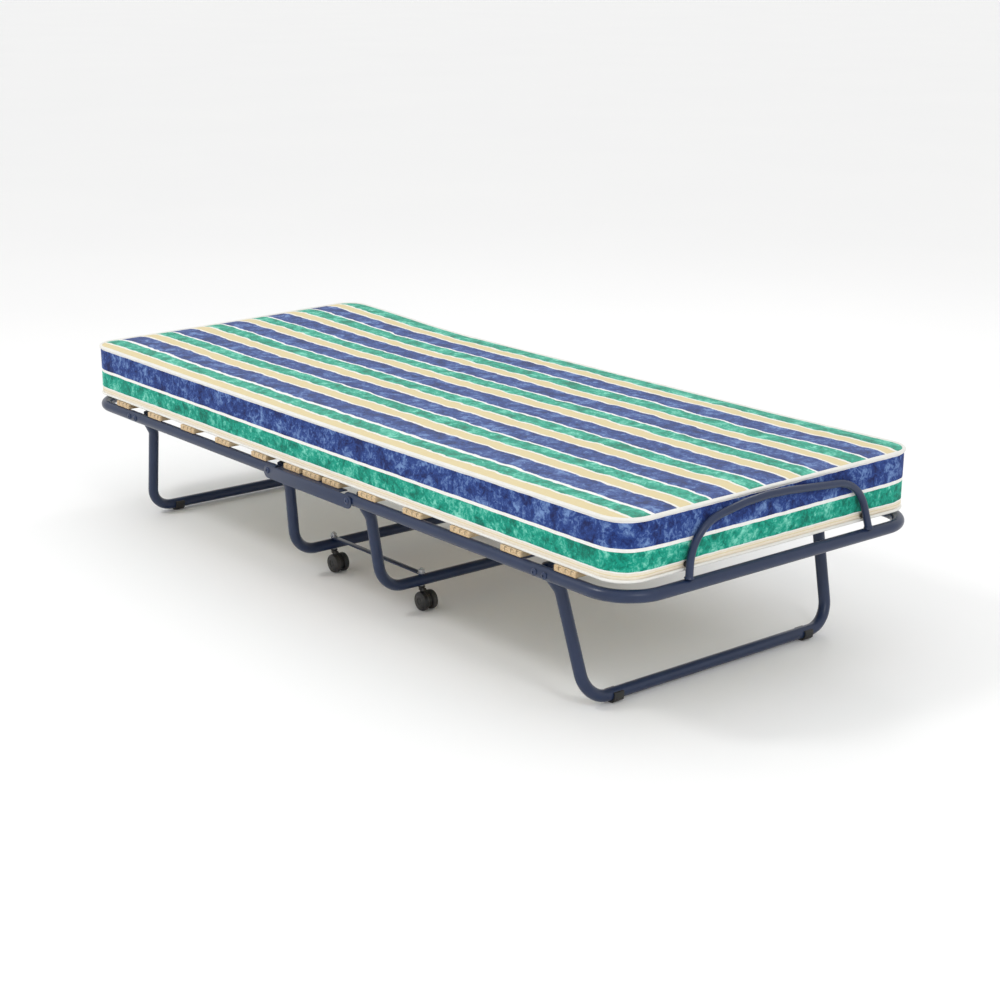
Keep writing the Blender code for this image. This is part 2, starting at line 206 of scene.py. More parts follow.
def shade(thing: Thing, degrees: float = 35.0) -> Thing:
    """Shade smooth, with the sharp edges kept crisp.

    Args:
        thing: The piece.
        degrees: Edges sharper than this stay crisp.

    Returns:
        The same piece.
    """
    take_up(thing)
    bpy.ops.object.shade_smooth_by_angle(angle=math.radians(degrees))
    return thing


def ease_edges(thing: Thing, width: float, segments: int = 2, degrees: float = 40.0) -> Thing:
    """Round the sharp edges of a piece with an applied Bevel modifier.

    Args:
        thing: The piece.
        width: The bevel's width.
        segments: Faces across the bevel.
        degrees: Edges sharper than this are bevelled.

    Returns:
        The same piece.
    """
    bevel = thing.modifiers.new("eased", "BEVEL")
    bevel.width = width
    bevel.segments = segments
    bevel.limit_method = "ANGLE"
    bevel.angle_limit = math.radians(degrees)
    return settle(thing)


def cut(thing: Thing, cutter: Thing) -> Thing:
    """Subtract one closed piece from another and remove the cutter.

    Args:
        thing: The piece to cut.
        cutter: The closed shape to take away.

    Returns:
        The cut piece.
    """
    boolean = thing.modifiers.new("cut", "BOOLEAN")
    boolean.operation = "DIFFERENCE"
    boolean.object = cutter
    settle(thing)
    bpy.data.objects.remove(cutter, do_unlink=True)
    return thing


def gather(name: str, things: Sequence[Thing]) -> Thing:
    """Join several pieces into one object.

    Args:
        name: The joined object's name.
        things: The pieces, all with the same finish.

    Returns:
        The joined object.
    """
    stand_back()
    for thing in things:
        thing.select_set(True)
    bpy.context.view_layer.objects.active = things[0]
    bpy.ops.object.join()
    things[0].name = name
    return things[0]


def copy_to(thing: Thing, name: str, shift: Vector) -> Thing:
    """Copy a finished piece, mesh and all, and move the copy's mesh.

    Args:
        thing: The piece to copy.
        name: The copy's name.
        shift: How far the copy's mesh is moved.

    Returns:
        The copy.
    """
    made = thing.copy()
    made.data = thing.data.copy()
    made.name = name
    bpy.context.scene.collection.objects.link(made)
    made.data.transform(Matrix.Translation(shift))
    return made


def finish_piece(thing: Thing, finish: "Finish", slot: str, body: str, *nodes: str) -> Thing:
    """Dress a finished piece, hang it on its body and let it stand for its frame nodes.

    Args:
        thing: The piece, with its place in its mesh.
        finish: Its material.
        slot: The name of a material slot; not used.
        body: The body that it moves with.
        nodes: The frame's nodes that it stands for.

    Returns:
        The same piece.
    """
    dress(thing, finish)
    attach(thing, body)
    if nodes:
        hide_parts(*nodes)
    log.info("%s: %d faces on %s", thing.name, len(thing.data.polygons), body)
    return thing


def dress(thing: Thing, finish: "Finish") -> None:
    """Give an object its finish in place of whatever it had."""
    thing.data.materials.clear()
    thing.data.materials.append(finish.material())


def box(name: str, low: Vector, high: Vector) -> Thing:
    """A cube primitive stretched between two corners, its scale applied.

    Args:
        name: The block's name.
        low: Its lowest corner.
        high: Its highest corner.

    Returns:
        The block.
    """
    stand_back()
    low, high = Vector(low), Vector(high)
    bpy.ops.mesh.primitive_cube_add(size=1.0, location=(low + high) / 2, scale=high - low)
    made = bpy.context.object
    made.name = name
    return settle(made)


# ---------------------------------------------------------------- tube bending and turning
@dataclass
class Swell:
    """A place where a tube is pressed flat or built up: a rivet seat or a weld."""

    place: Vector
    reach: float
    factors: tuple[float, float, float]

    def at(self, point: Vector) -> Vector:
        """Scale factors for one ring of the tube.

        Args:
            point: The ring's centre.

        Returns:
            The factors along X, Y and Z.
        """
        away = min(1.0, (point - self.place).length / self.reach)
        share = math.cos(away * math.pi / 2) ** 2
        return Vector(1.0 + (factor - 1.0) * share for factor in self.factors)


@dataclass
class Mouth:
    """An open tube end: how deep it shows, and the tube's wall."""

    depth: float = 0.016
    wall: float = 0.0014


@dataclass
class TubeBender:
    """Draws a round section along straights and round bends, ring by ring."""

    radius: float
    sides: int = 32
    bend_step: float = math.radians(6.0)
    shortest: float = 0.0004

    def draw(self, name: str, corners: Sequence[Vector], radii: Sequence[float],
             swells: Sequence[Swell] = (), mouth: Mouth | None = None,
             pitch: float = 1.0) -> Thing:
        """Bend a tube through a polyline whose inner corners are arcs.

        Args:
            name: The tube's name.
            corners: The polyline.
            radii: The bend radius at each inner corner.
            swells: Places where the section is pressed or built up.
            mouth: The open ends' shape, or None for closed, rounded ends.
            pitch: The longest stretch between two rings on a straight.

        Returns:
            The tube, closed and with its faces outwards.
        """
        corners = [Vector(corner) for corner in corners]
        heading = (corners[1] - corners[0]).normalized()
        self._factors = Vector((1.0, 1.0, 1.0))
        end_radius = self.radius - mouth.wall if mouth else self.radius * 0.72
        depth = mouth.depth if mouth else -self.radius * 0.22
        self.start_ring(name, corners[0] + heading * depth, heading, end_radius)
        self.extrude(-heading * depth)
        if mouth:
            self.extrude(Vector())
        self.scale(self.radius / end_radius)
        self._centre = corners[0].copy()
        for index, radius in enumerate(radii):
            corner = corners[index + 1]
            after = (corners[index + 2] - corner).normalized()
            sweep = heading.angle(after)
            reach = radius * math.tan(sweep / 2)
            self._straight(corner - heading * reach, swells, pitch)
            inward = (after - heading).normalized()
            centre = corner + inward * (radius / math.cos(sweep / 2))
            axis = heading.cross(after).normalized()
            steps = max(3, round(sweep / self.bend_step))
            bpy.ops.mesh.spin(steps=steps, angle=-sweep, center=centre, axis=axis)
            self._centre = corner + after * reach
            heading = after
        self._straight(corners[-1], swells, pitch)
        self.extrude(Vector() if mouth else -heading * depth)
        self.scale(end_radius / self.radius)
        if mouth:
            self.extrude(-heading * depth)
        return self.close()

    def start_ring(self, name: str, place: Vector, heading: Vector, radius: float) -> None:
        """Add the first ring and open it for editing.

        Args:
            name: The piece's name.
            place: The ring's centre.
            heading: The direction that the ring is square to.
            radius: The ring's radius.
        """
        stand_back()
        facing = heading.to_track_quat("Z", "Y").to_euler()
        bpy.ops.mesh.primitive_circle_add(vertices=self.sides, radius=radius, fill_type="NOTHING",
                                          location=place, rotation=facing)
        self._thing = settle(bpy.context.object)
        self._thing.name = name
        self._centre = place.copy()
        open_mesh(self._thing)

    def extrude(self, move: Vector) -> None:
        """Extrude the open ring and move the new one."""
        bpy.ops.mesh.extrude_region_move(TRANSFORM_OT_translate={"value": move})
        self._centre = self._centre + move

    def scale(self, factor: float) -> None:
        """Resize the open ring about its centre."""
        bpy.ops.transform.resize(value=(factor,) * 3, center_override=self._centre)

    def _straight(self, end: Vector, swells: Sequence[Swell], pitch: float) -> None:
        """Run straight to a point, with extra rings where the section changes.

        Args:
            end: Where the straight ends.
            swells: Every swell of the tube; those on this straight are used.
            pitch: The longest stretch between two rings.
        """
        start = self._centre.copy()
        span = end - start
        stops = {1.0}
        count = math.ceil(span.length / pitch)
        stops.update(index / count for index in range(1, count))
        for swell in swells:
            along = (swell.place - start).dot(span) / span.length_squared
            off = (swell.place - start - span * along).length
            if off > self.radius * 0.5 or not -0.1 < along < 1.1:
                continue
            share = swell.reach / span.length
            stops.update(along + share * step / 5 for step in range(-5, 6))
        for stop in sorted(stop for stop in stops if 0.0005 < stop <= 1.0):
            target = start + span * stop
            if (target - self._centre).length < self.shortest:
                continue
            self.extrude(target - self._centre)
            factors = Vector((1.0, 1.0, 1.0))
            for swell in swells:
                here = swell.at(target)
                factors = Vector(a * b for a, b in zip(factors, here))
            ratio = Vector(new / old for new, old in zip(factors, self._factors))
            if (ratio - Vector((1.0, 1.0, 1.0))).length > 1e-6:
                bpy.ops.transform.resize(value=ratio, center_override=self._centre)
            self._factors = factors

    def close(self) -> Thing:
        """Cap the open ring and the first one, which holds the mesh's first vertices.

        Returns:
            The closed piece, its faces outwards.
        """
        bpy.ops.mesh.edge_face_add()
        bpy.ops.mesh.select_mode(type="VERT")
        bpy.ops.mesh.select_all(action="DESELECT")
        mesh = bmesh.from_edit_mesh(self._thing.data)
        mesh.verts.ensure_lookup_table()
        for index in range(self.sides):
            mesh.verts[index].select_set(True)
        mesh.select_flush(True)
        bmesh.update_edit_mesh(self._thing.data)
        bpy.ops.mesh.edge_face_add()
        return shade(close_up(self._thing), 50.0)


def turn(name: str, profile: Sequence[tuple[float, float]], place: Vector, axis: Vector,
         sides: int = 32, degrees: float = 35.0) -> Thing:
    """Turn a solid: a ring is pushed along the axis and resized, station by station.

    Args:
        name: The piece's name.
        profile: (radius, height) stations from one flat end to the other.
        place: The origin of the heights.
        axis: The direction that the heights run in.
        sides: Faces round the piece.
        degrees: Edges sharper than this stay crisp.

    Returns:
        The closed piece.
    """
    axis = Vector(axis).normalized()
    place = Vector(place)
    bender = TubeBender(profile[0][0], sides)
    bender.start_ring(name, place + axis * profile[0][1], axis, profile[0][0])
    for (radius, height), (last_radius, last_height) in zip(profile[1:], profile):
        bender.extrude(axis * (height - last_height))
        if abs(radius - last_radius) > 1e-7:
            bender.scale(radius / last_radius)
    return shade(bender.close(), degrees)


def dome(radius: float, height: float, rise: float, steps: int = 5) -> list[tuple[float, float]]:
    """Stations of a dome from its small flat crown down to its rim.

    Args:
        radius: The rim's radius.
        height: The rim's height.
        rise: The crown's height above the rim; negative for a dome that faces down.
        steps: Stations between crown and rim.

    Returns:
        (radius, height) pairs, crown first.
    """
    angles = [math.radians(8 + 82 * step / steps) for step in range(steps + 1)]
    return [(radius * math.sin(angle), height + rise * math.cos(angle)) for angle in angles]


# ---------------------------------------------------------------- node trees
class Tree:
    """A node tree with short ways to add and join nodes."""

    def __init__(self, tree: bpy.types.NodeTree) -> None:
        """Keep the tree to work on."""
        self.tree = tree

    def add(self, kind: str, inputs: dict | None = None, **settings: object) -> bpy.types.Node:
        """Add a node, set its properties, and set or join its inputs.

        Args:
            kind: The node's type name, without the ShaderNode prefix.
            inputs: Input names or numbers to values or output sockets.
            settings: The node's own properties.

        Returns:
            The node.
        """
        node = self.tree.nodes.new("ShaderNode" + kind)
        for key, value in settings.items():
            setattr(node, key, value)
        for key, value in (inputs or {}).items():
            self.feed(node.inputs[key], value)
        return node

    def feed(self, socket: bpy.types.NodeSocket, value: object) -> None:
        """Join an output socket to an input, or set the input's own value.

        Args:
            socket: The input.
            value: An output socket or a value.
        """
        if isinstance(value, bpy.types.NodeSocket):
            self.tree.links.new(value, socket)
        else:
            socket.default_value = value

    def calc(self, operation: str, first: object, second: object = 0.0,
             clamp: bool = False) -> bpy.types.NodeSocket:
        """Two values worked into one.

        Args:
            operation: The Math node's operation.
            first: The first value.
            second: The second value.
            clamp: Whether the result is held between 0 and 1.

        Returns:
            The result.
        """
        node = self.add("Math", {0: first, 1: second}, operation=operation, use_clamp=clamp)
        return node.outputs[0]

    def mix(self, factor: object, first: object, second: object,
            blend: str = "MIX") -> bpy.types.NodeSocket:
        """Two colours mixed.

        Args:
            factor: The second colour's share.
            first: The first colour.
            second: The second colour.
            blend: How they are mixed.

        Returns:
            The mixed colour.
        """
        node = self.add("Mix", {0: factor, 6: first, 7: second}, data_type="RGBA", blend_type=blend)
        return node.outputs[2]

    def span(self, value: object, low: float, high: float, new_low: float = 0.0,
             new_high: float = 1.0, smooth: bool = False) -> bpy.types.NodeSocket:
        """A value mapped from one range to another and held inside it.

        Args:
            value: The value.
            low: Where its range begins.
            high: Where its range ends.
            new_low: What the range's beginning becomes.
            new_high: What its end becomes.
            smooth: Whether the ends are eased.

        Returns:
            The mapped value.
        """
        kind = "SMOOTHSTEP" if smooth else "LINEAR"
        node = self.add("MapRange", {0: value, 1: low, 2: high, 3: new_low, 4: new_high},
                        interpolation_type=kind, clamp=True)
        return node.outputs[0]

    def noise(self, vector: object, scale: float, detail: float = 2.0, roughness: float = 0.5,
              distortion: float = 0.0) -> bpy.types.NodeSocket:
        """A noise texture's value.

        Args:
            vector: The coordinates.
            scale: How fine the noise is.
            detail: How many finer layers it has.
            roughness: How strong the finer layers are.
            distortion: How far the noise is pulled about.

        Returns:
            The value.
        """
        values = {"Vector": vector, "Scale": scale, "Detail": detail, "Roughness": roughness,
                  "Distortion": distortion}
        return self.add("TexNoise", values).outputs[0]

    def stretch(self, vector: object, scale: Colour) -> bpy.types.NodeSocket:
        """Coordinates scaled along each axis."""
        return self.add("Mapping", {"Vector": vector, "Scale": scale}).outputs[0]

    def ramp(self, value: object, stops: Sequence[tuple[float, tuple]],
             hold: bool = False) -> bpy.types.Node:
        """A colour ramp.

        Args:
            value: The place on the ramp.
            stops: (place, colour) pairs in order, with three or four channels.
            hold: Whether each colour holds until the next stop.

        Returns:
            The ramp node, whose outputs are Color and Alpha.
        """
        node = self.add("ValToRGB", {0: value})
        ramp = node.color_ramp
        ramp.interpolation = "CONSTANT" if hold else "LINEAR"
        while len(ramp.elements) > 1:
            ramp.elements.remove(ramp.elements[-1])
        for index, (place, colour) in enumerate(stops):
            stop = ramp.elements[0] if index == 0 else ramp.elements.new(place)
            stop.position = place
            stop.color = (*colour, 1.0) if len(colour) == 3 else colour
        return node


def srgb(red: int, green: int, blue: int) -> Colour:
    """A colour in scene-linear values.

    Args:
        red: Its display value, from 0 to 255.
        green: The same for green.
        blue: The same for blue.

    Returns:
        The linear red, green and blue.
    """
    shares = (red / 255, green / 255, blue / 255)
    return tuple(v / 12.92 if v <= 0.04045 else ((v + 0.055) / 1.055) ** 2.4 for v in shares)


def new_group(name: str, inputs: Sequence[tuple[str, str]], outputs: Sequence[tuple[str, str]]
              ) -> tuple[bpy.types.NodeTree, Tree, bpy.types.Node, bpy.types.Node]:
    """An empty shader node group with its sockets made.

    Args:
        name: The group's name.
        inputs: (name, socket type) pairs.
        outputs: (name, socket type) pairs.

    Returns:
        The group, its tree, its input node and its output node.
    """
    group = bpy.data.node_groups.new(name, "ShaderNodeTree")
    for label, kind in inputs:
        group.interface.new_socket(name=label, in_out="INPUT", socket_type="NodeSocket" + kind)
    for label, kind in outputs:
        group.interface.new_socket(name=label, in_out="OUTPUT", socket_type="NodeSocket" + kind)
    source = group.nodes.new("NodeGroupInput")
    sink = group.nodes.new("NodeGroupOutput")
    return group, Tree(group), source, sink


class Effect(Enum):
    """The effects that more than one finish uses."""

    HANDLING = "handling_marks"
    WEAVE = "plain_weave"
    DYE = "brushed_dye"

    def group(self) -> bpy.types.NodeTree:
        """The effect's node group, built the first time it is asked for.

        Returns:
            The group.
        """
        found = bpy.data.node_groups.get(self.value)
        if found:
            return found
        makers = {Effect.HANDLING: self._handling, Effect.WEAVE: self._weave, Effect.DYE: self._dye}
        return makers[self]()

    def place(self, tree: Tree, values: dict) -> bpy.types.Node:
        """Put the effect in a material.

        Args:
            tree: The material's tree.
            values: The group's inputs.

        Returns:
            The group node.
        """
        node = tree.tree.nodes.new("ShaderNodeGroup")
        node.node_tree = self.group()
        for key, value in values.items():
            tree.feed(node.inputs[key], value)
        return node

    def _handling(self) -> bpy.types.NodeTree:
        """Dull smears and rubbed spots: a slow cloud cut by a finer one.

        Returns:
            The group.
        """
        group, tree, source, sink = new_group(
            self.value, [("Vector", "Vector"), ("Scale", "Float")],
            [("Smear", "Float"), ("Grain", "Float")])
        scaled = tree.add("VectorMath", {0: source.outputs["Vector"], "Scale": source.outputs["Scale"]},
                          operation="SCALE").outputs[0]
        broad = tree.noise(scaled, 3.0, 3.0, 0.55, 0.4)
        fine = tree.noise(scaled, 21.0, 4.0, 0.6)
        both = tree.calc("MULTIPLY", tree.span(broad, 0.35, 0.7), tree.span(fine, 0.2, 0.7, 0.35, 1.0))
        grain = tree.noise(scaled, 230.0, 2.0, 0.5)
        tree.feed(sink.inputs["Smear"], both)
        tree.feed(sink.inputs["Grain"], grain)
        return group

    def _weave(self) -> bpy.types.NodeTree:
        """Over-and-under threads: two crossed waves, one a half thread out of step.

        Returns:
            The group.
        """
        group, tree, source, sink = new_group(
            self.value, [("Vector", "Vector"), ("Pitch", "Float")], [("Height", "Float")])
        parts = tree.add("SeparateXYZ", {0: source.outputs["Vector"]}).outputs
        pitch = source.outputs["Pitch"]
        waves = []
        for axis in (0, 1, 2):
            turns = tree.calc("MULTIPLY", tree.calc("DIVIDE", parts[axis], pitch), math.tau)
            waves.append(tree.calc("SINE", turns))
        first = tree.calc("MULTIPLY", waves[0], waves[1])
        second = tree.calc("MULTIPLY", tree.calc("ADD", waves[0], waves[1]), waves[2])
        both = tree.calc("ADD", first, tree.calc("MULTIPLY", second, 0.5))
        slub = tree.noise(tree.stretch(source.outputs["Vector"], (1.0, 6.0, 6.0)), 160.0, 2.0)
        tree.feed(sink.inputs["Height"], tree.calc("ADD", both, slub))
        return group

    def _dye(self) -> bpy.types.NodeTree:
        """Blotchy brushed dye, from a dark pool to a pale patch.

        Returns:
            The group.
        """
        group, tree, source, sink = new_group(
            self.value,
            [("Vector", "Vector"), ("Dark", "Color"), ("Middle", "Color"), ("Light", "Color")],
            [("Color", "Color")])
        vector = source.outputs["Vector"]
        broad = tree.noise(vector, 24.0, 3.0, 0.55, 0.5)
        blots = tree.noise(vector, 78.0, 4.0, 0.66, 0.9)
        fine = tree.noise(vector, 260.0, 3.0, 0.6, 0.4)
        depth = tree.calc("ADD", tree.calc("MULTIPLY", broad, 0.42), tree.calc("MULTIPLY", blots, 0.44))
        depth = tree.calc("ADD", depth, tree.calc("MULTIPLY", fine, 0.14))
        low = tree.span(depth, 0.38, 0.52, smooth=True)
        high = tree.span(depth, 0.49, 0.64, smooth=True)
        first = tree.mix(low, source.outputs["Dark"], source.outputs["Middle"])
        tree.feed(sink.inputs["Color"], tree.mix(high, first, source.outputs["Light"]))
        return group


# ---------------------------------------------------------------- finishes
@dataclass(frozen=True)
class Finish:
    """A named material, built once; each kind fills in its own nodes."""

    name: str

    def material(self) -> bpy.types.Material:
        """The finish's material, built the first time it is asked for.

        Returns:
            The material.
        """
        found = bpy.data.materials.get(self.name)
        if found:
            return found
        made = bpy.data.materials.new(self.name)
        made.use_nodes = True
        tree = Tree(made.node_tree)
        self.fill(tree, made.node_tree.nodes["Principled BSDF"])
        return made

    def fill(self, tree: Tree, shader: bpy.types.Node) -> None:
        """Join the finish's nodes to the shader."""
        raise NotImplementedError

    @staticmethod
    def place(tree: Tree) -> bpy.types.NodeSocket:
        """The piece's own coordinates."""
        return tree.add("TexCoord").outputs["Object"]


@dataclass(frozen=True)
class PowderCoat(Finish):
    """Satin paint baked on steel, slightly pebbled, paler where it has been rubbed."""

    colour: Colour = srgb(27, 41, 70)
    rubbed: Colour = srgb(46, 61, 94)
    roughness: float = 0.28

    def fill(self, tree: Tree, shader: bpy.types.Node) -> None:
        """Join the paint's colour, gloss and pebbling.

        Args:
            tree: The material's tree.
            shader: Its Principled BSDF.
        """
        marks = Effect.HANDLING.place(tree, {"Vector": self.place(tree), "Scale": 6.0}).outputs
        pebble = tree.noise(self.place(tree), 900.0, 2.0, 0.45)
        worn = tree.calc("MULTIPLY", marks["Smear"], 0.30)
        colour = tree.mix(worn, (*self.colour, 1), (*self.rubbed, 1))
        tree.feed(shader.inputs["Base Color"], colour)
        tree.feed(shader.inputs["Roughness"],
                  tree.span(marks["Smear"], 0.0, 1.0, self.roughness, self.roughness + 0.14))
        bump = tree.add("Bump", {"Strength": 0.16, "Distance": 0.0003, "Height": pebble})
        tree.feed(shader.inputs["Normal"], bump.outputs[0])
        shader.inputs["Specular IOR Level"].default_value = 0.42


@dataclass(frozen=True)
class PlanedBeech(Finish):
    """Pale sanded hardwood: long fibres across the bed, flecks and a darker end grain."""

    pale: Colour = srgb(224, 203, 168)
    dark: Colour = srgb(178, 148, 108)
    flecks: Colour = srgb(168, 122, 74)
    pale_end: Colour = srgb(222, 198, 160)
    dark_end: Colour = srgb(182, 148, 106)

    def fill(self, tree: Tree, shader: bpy.types.Node) -> None:
        """Join the grain, the flecks and the board-to-board change of colour.

        Args:
            tree: The material's tree.
            shader: Its Principled BSDF.
        """
        place = self.place(tree)
        along = tree.stretch(place, (1.0, 0.06, 1.0))
        bands = tree.noise(along, 55.0, 5.0, 0.6, 1.4)
        fibre = tree.noise(tree.stretch(place, (1.0, 0.03, 1.0)), 420.0, 3.0, 0.6)
        board = tree.noise(tree.stretch(place, (1.0, 0.05, 0.05)), 7.0, 0.0)
        fleck = tree.noise(tree.stretch(place, (1.0, 0.22, 1.0)), 300.0, 1.0, 0.4)
        grain = tree.calc("ADD", tree.calc("MULTIPLY", bands, 0.6), tree.calc("MULTIPLY", fibre, 0.4))
        wood = tree.mix(tree.span(grain, 0.36, 0.66), (*self.pale, 1), (*self.dark, 1))
        tone = tree.span(board, 0.35, 0.65, 0.88, 1.06)
        wood = tree.mix(1.0, wood, tree.add("CombineColor", {0: tone, 1: tone, 2: tone}).outputs[0],
                        "MULTIPLY")
        wood = tree.mix(tree.span(fleck, 0.63, 0.72, 0.0, 0.45), wood, (*self.flecks, 1))
        normal = tree.add("NewGeometry").outputs["Normal"]
        across = tree.add("SeparateXYZ", {0: normal}).outputs[1]
        end = tree.span(tree.calc("ABSOLUTE", across), 0.7, 0.95)
        rings = tree.noise(tree.stretch(place, (0.35, 1.0, 1.0)), 900.0, 3.0, 0.7)
        cut_end = tree.mix(tree.span(rings, 0.4, 0.62), (*self.pale_end, 1), (*self.dark_end, 1))
        tree.feed(shader.inputs["Base Color"], tree.mix(end, wood, cut_end))
        tree.feed(shader.inputs["Roughness"], tree.span(grain, 0.3, 0.7, 0.5, 0.66))
        bump = tree.add("Bump", {"Strength": 0.3, "Distance": 0.0004, "Height": grain})
        tree.feed(shader.inputs["Normal"], bump.outputs[0])
        shader.inputs["Specular IOR Level"].default_value = 0.35


@dataclass(frozen=True)
class MouldedPlastic(Finish):
    """Dark moulded plastic or rubber with a spark-eroded grain and a little dust."""

    colour: Colour = srgb(26, 26, 28)
    roughness: float = 0.42
    grain: float = 0.25
    specular: float = 0.5
    dust: Colour = srgb(112, 108, 102)

    def fill(self, tree: Tree, shader: bpy.types.Node) -> None:
        """Join the moulding's grain and dust.

        Args:
            tree: The material's tree.
            shader: Its Principled BSDF.
        """
        marks = Effect.HANDLING.place(tree, {"Vector": self.place(tree), "Scale": 14.0}).outputs
        dusty = tree.calc("MULTIPLY", marks["Smear"], 0.22)
        tree.feed(shader.inputs["Base Color"], tree.mix(dusty, (*self.colour, 1), (*self.dust, 1)))
        tree.feed(shader.inputs["Roughness"],
                  tree.span(marks["Smear"], 0.0, 1.0, self.roughness, self.roughness + 0.2))
        bump = tree.add("Bump", {"Strength": self.grain, "Distance": 0.0002, "Height": marks["Grain"]})
        tree.feed(shader.inputs["Normal"], bump.outputs[0])
        shader.inputs["Specular IOR Level"].default_value = self.specular


@dataclass(frozen=True)
class ZincPlate(Finish):
    """Bright plated steel with fine tool marks and dull blooms."""

    colour: Colour = srgb(206, 208, 212)
    roughness: float = 0.24
    bloom: Colour = srgb(150, 150, 152)

    def fill(self, tree: Tree, shader: bpy.types.Node) -> None:
        """Join the plating's blooms and tool marks.

        Args:
            tree: The material's tree.
            shader: Its Principled BSDF.
        """
        marks = Effect.HANDLING.place(tree, {"Vector": self.place(tree), "Scale": 30.0}).outputs
        dulled = tree.calc("MULTIPLY", marks["Smear"], 0.6)
        tree.feed(shader.inputs["Base Color"], tree.mix(dulled, (*self.colour, 1), (*self.bloom, 1)))
        tree.feed(shader.inputs["Roughness"],
                  tree.span(marks["Smear"], 0.0, 1.0, self.roughness, self.roughness + 0.25))
        bump = tree.add("Bump", {"Strength": 0.15, "Distance": 0.0001, "Height": marks["Grain"]})
        tree.feed(shader.inputs["Normal"], bump.outputs[0])
        shader.inputs["Metallic"].default_value = 1.0


@dataclass(frozen=True)
class Piping(Finish):
    """Off-white woven tape over a cord."""

    colour: Colour = srgb(232, 231, 226)
    soiled: Colour = srgb(214, 208, 196)

    def fill(self, tree: Tree, shader: bpy.types.Node) -> None:
        """Join the tape's weave and slight soiling.

        Args:
            tree: The material's tree.
            shader: Its Principled BSDF.
        """
        place = tree.add("Attribute", attribute_name=CLOTH_PLACE).outputs["Vector"]
        weave = Effect.WEAVE.place(tree, {"Vector": place, "Pitch": 0.0016}).outputs["Height"]
        soil = tree.span(tree.noise(place, 24.0, 4.0, 0.6), 0.45, 0.75, 0.0, 0.35)
        tree.feed(shader.inputs["Base Color"], tree.mix(soil, (*self.colour, 1), (*self.soiled, 1)))
        bump = tree.add("Bump", {"Strength": 0.5, "Distance": 0.0003, "Height": weave})
        tree.feed(shader.inputs["Normal"], bump.outputs[0])
        shader.inputs["Roughness"].default_value = 0.86
        shader.inputs["Sheen Weight"].default_value = 0.15
        shader.inputs["Specular IOR Level"].default_value = 0.2


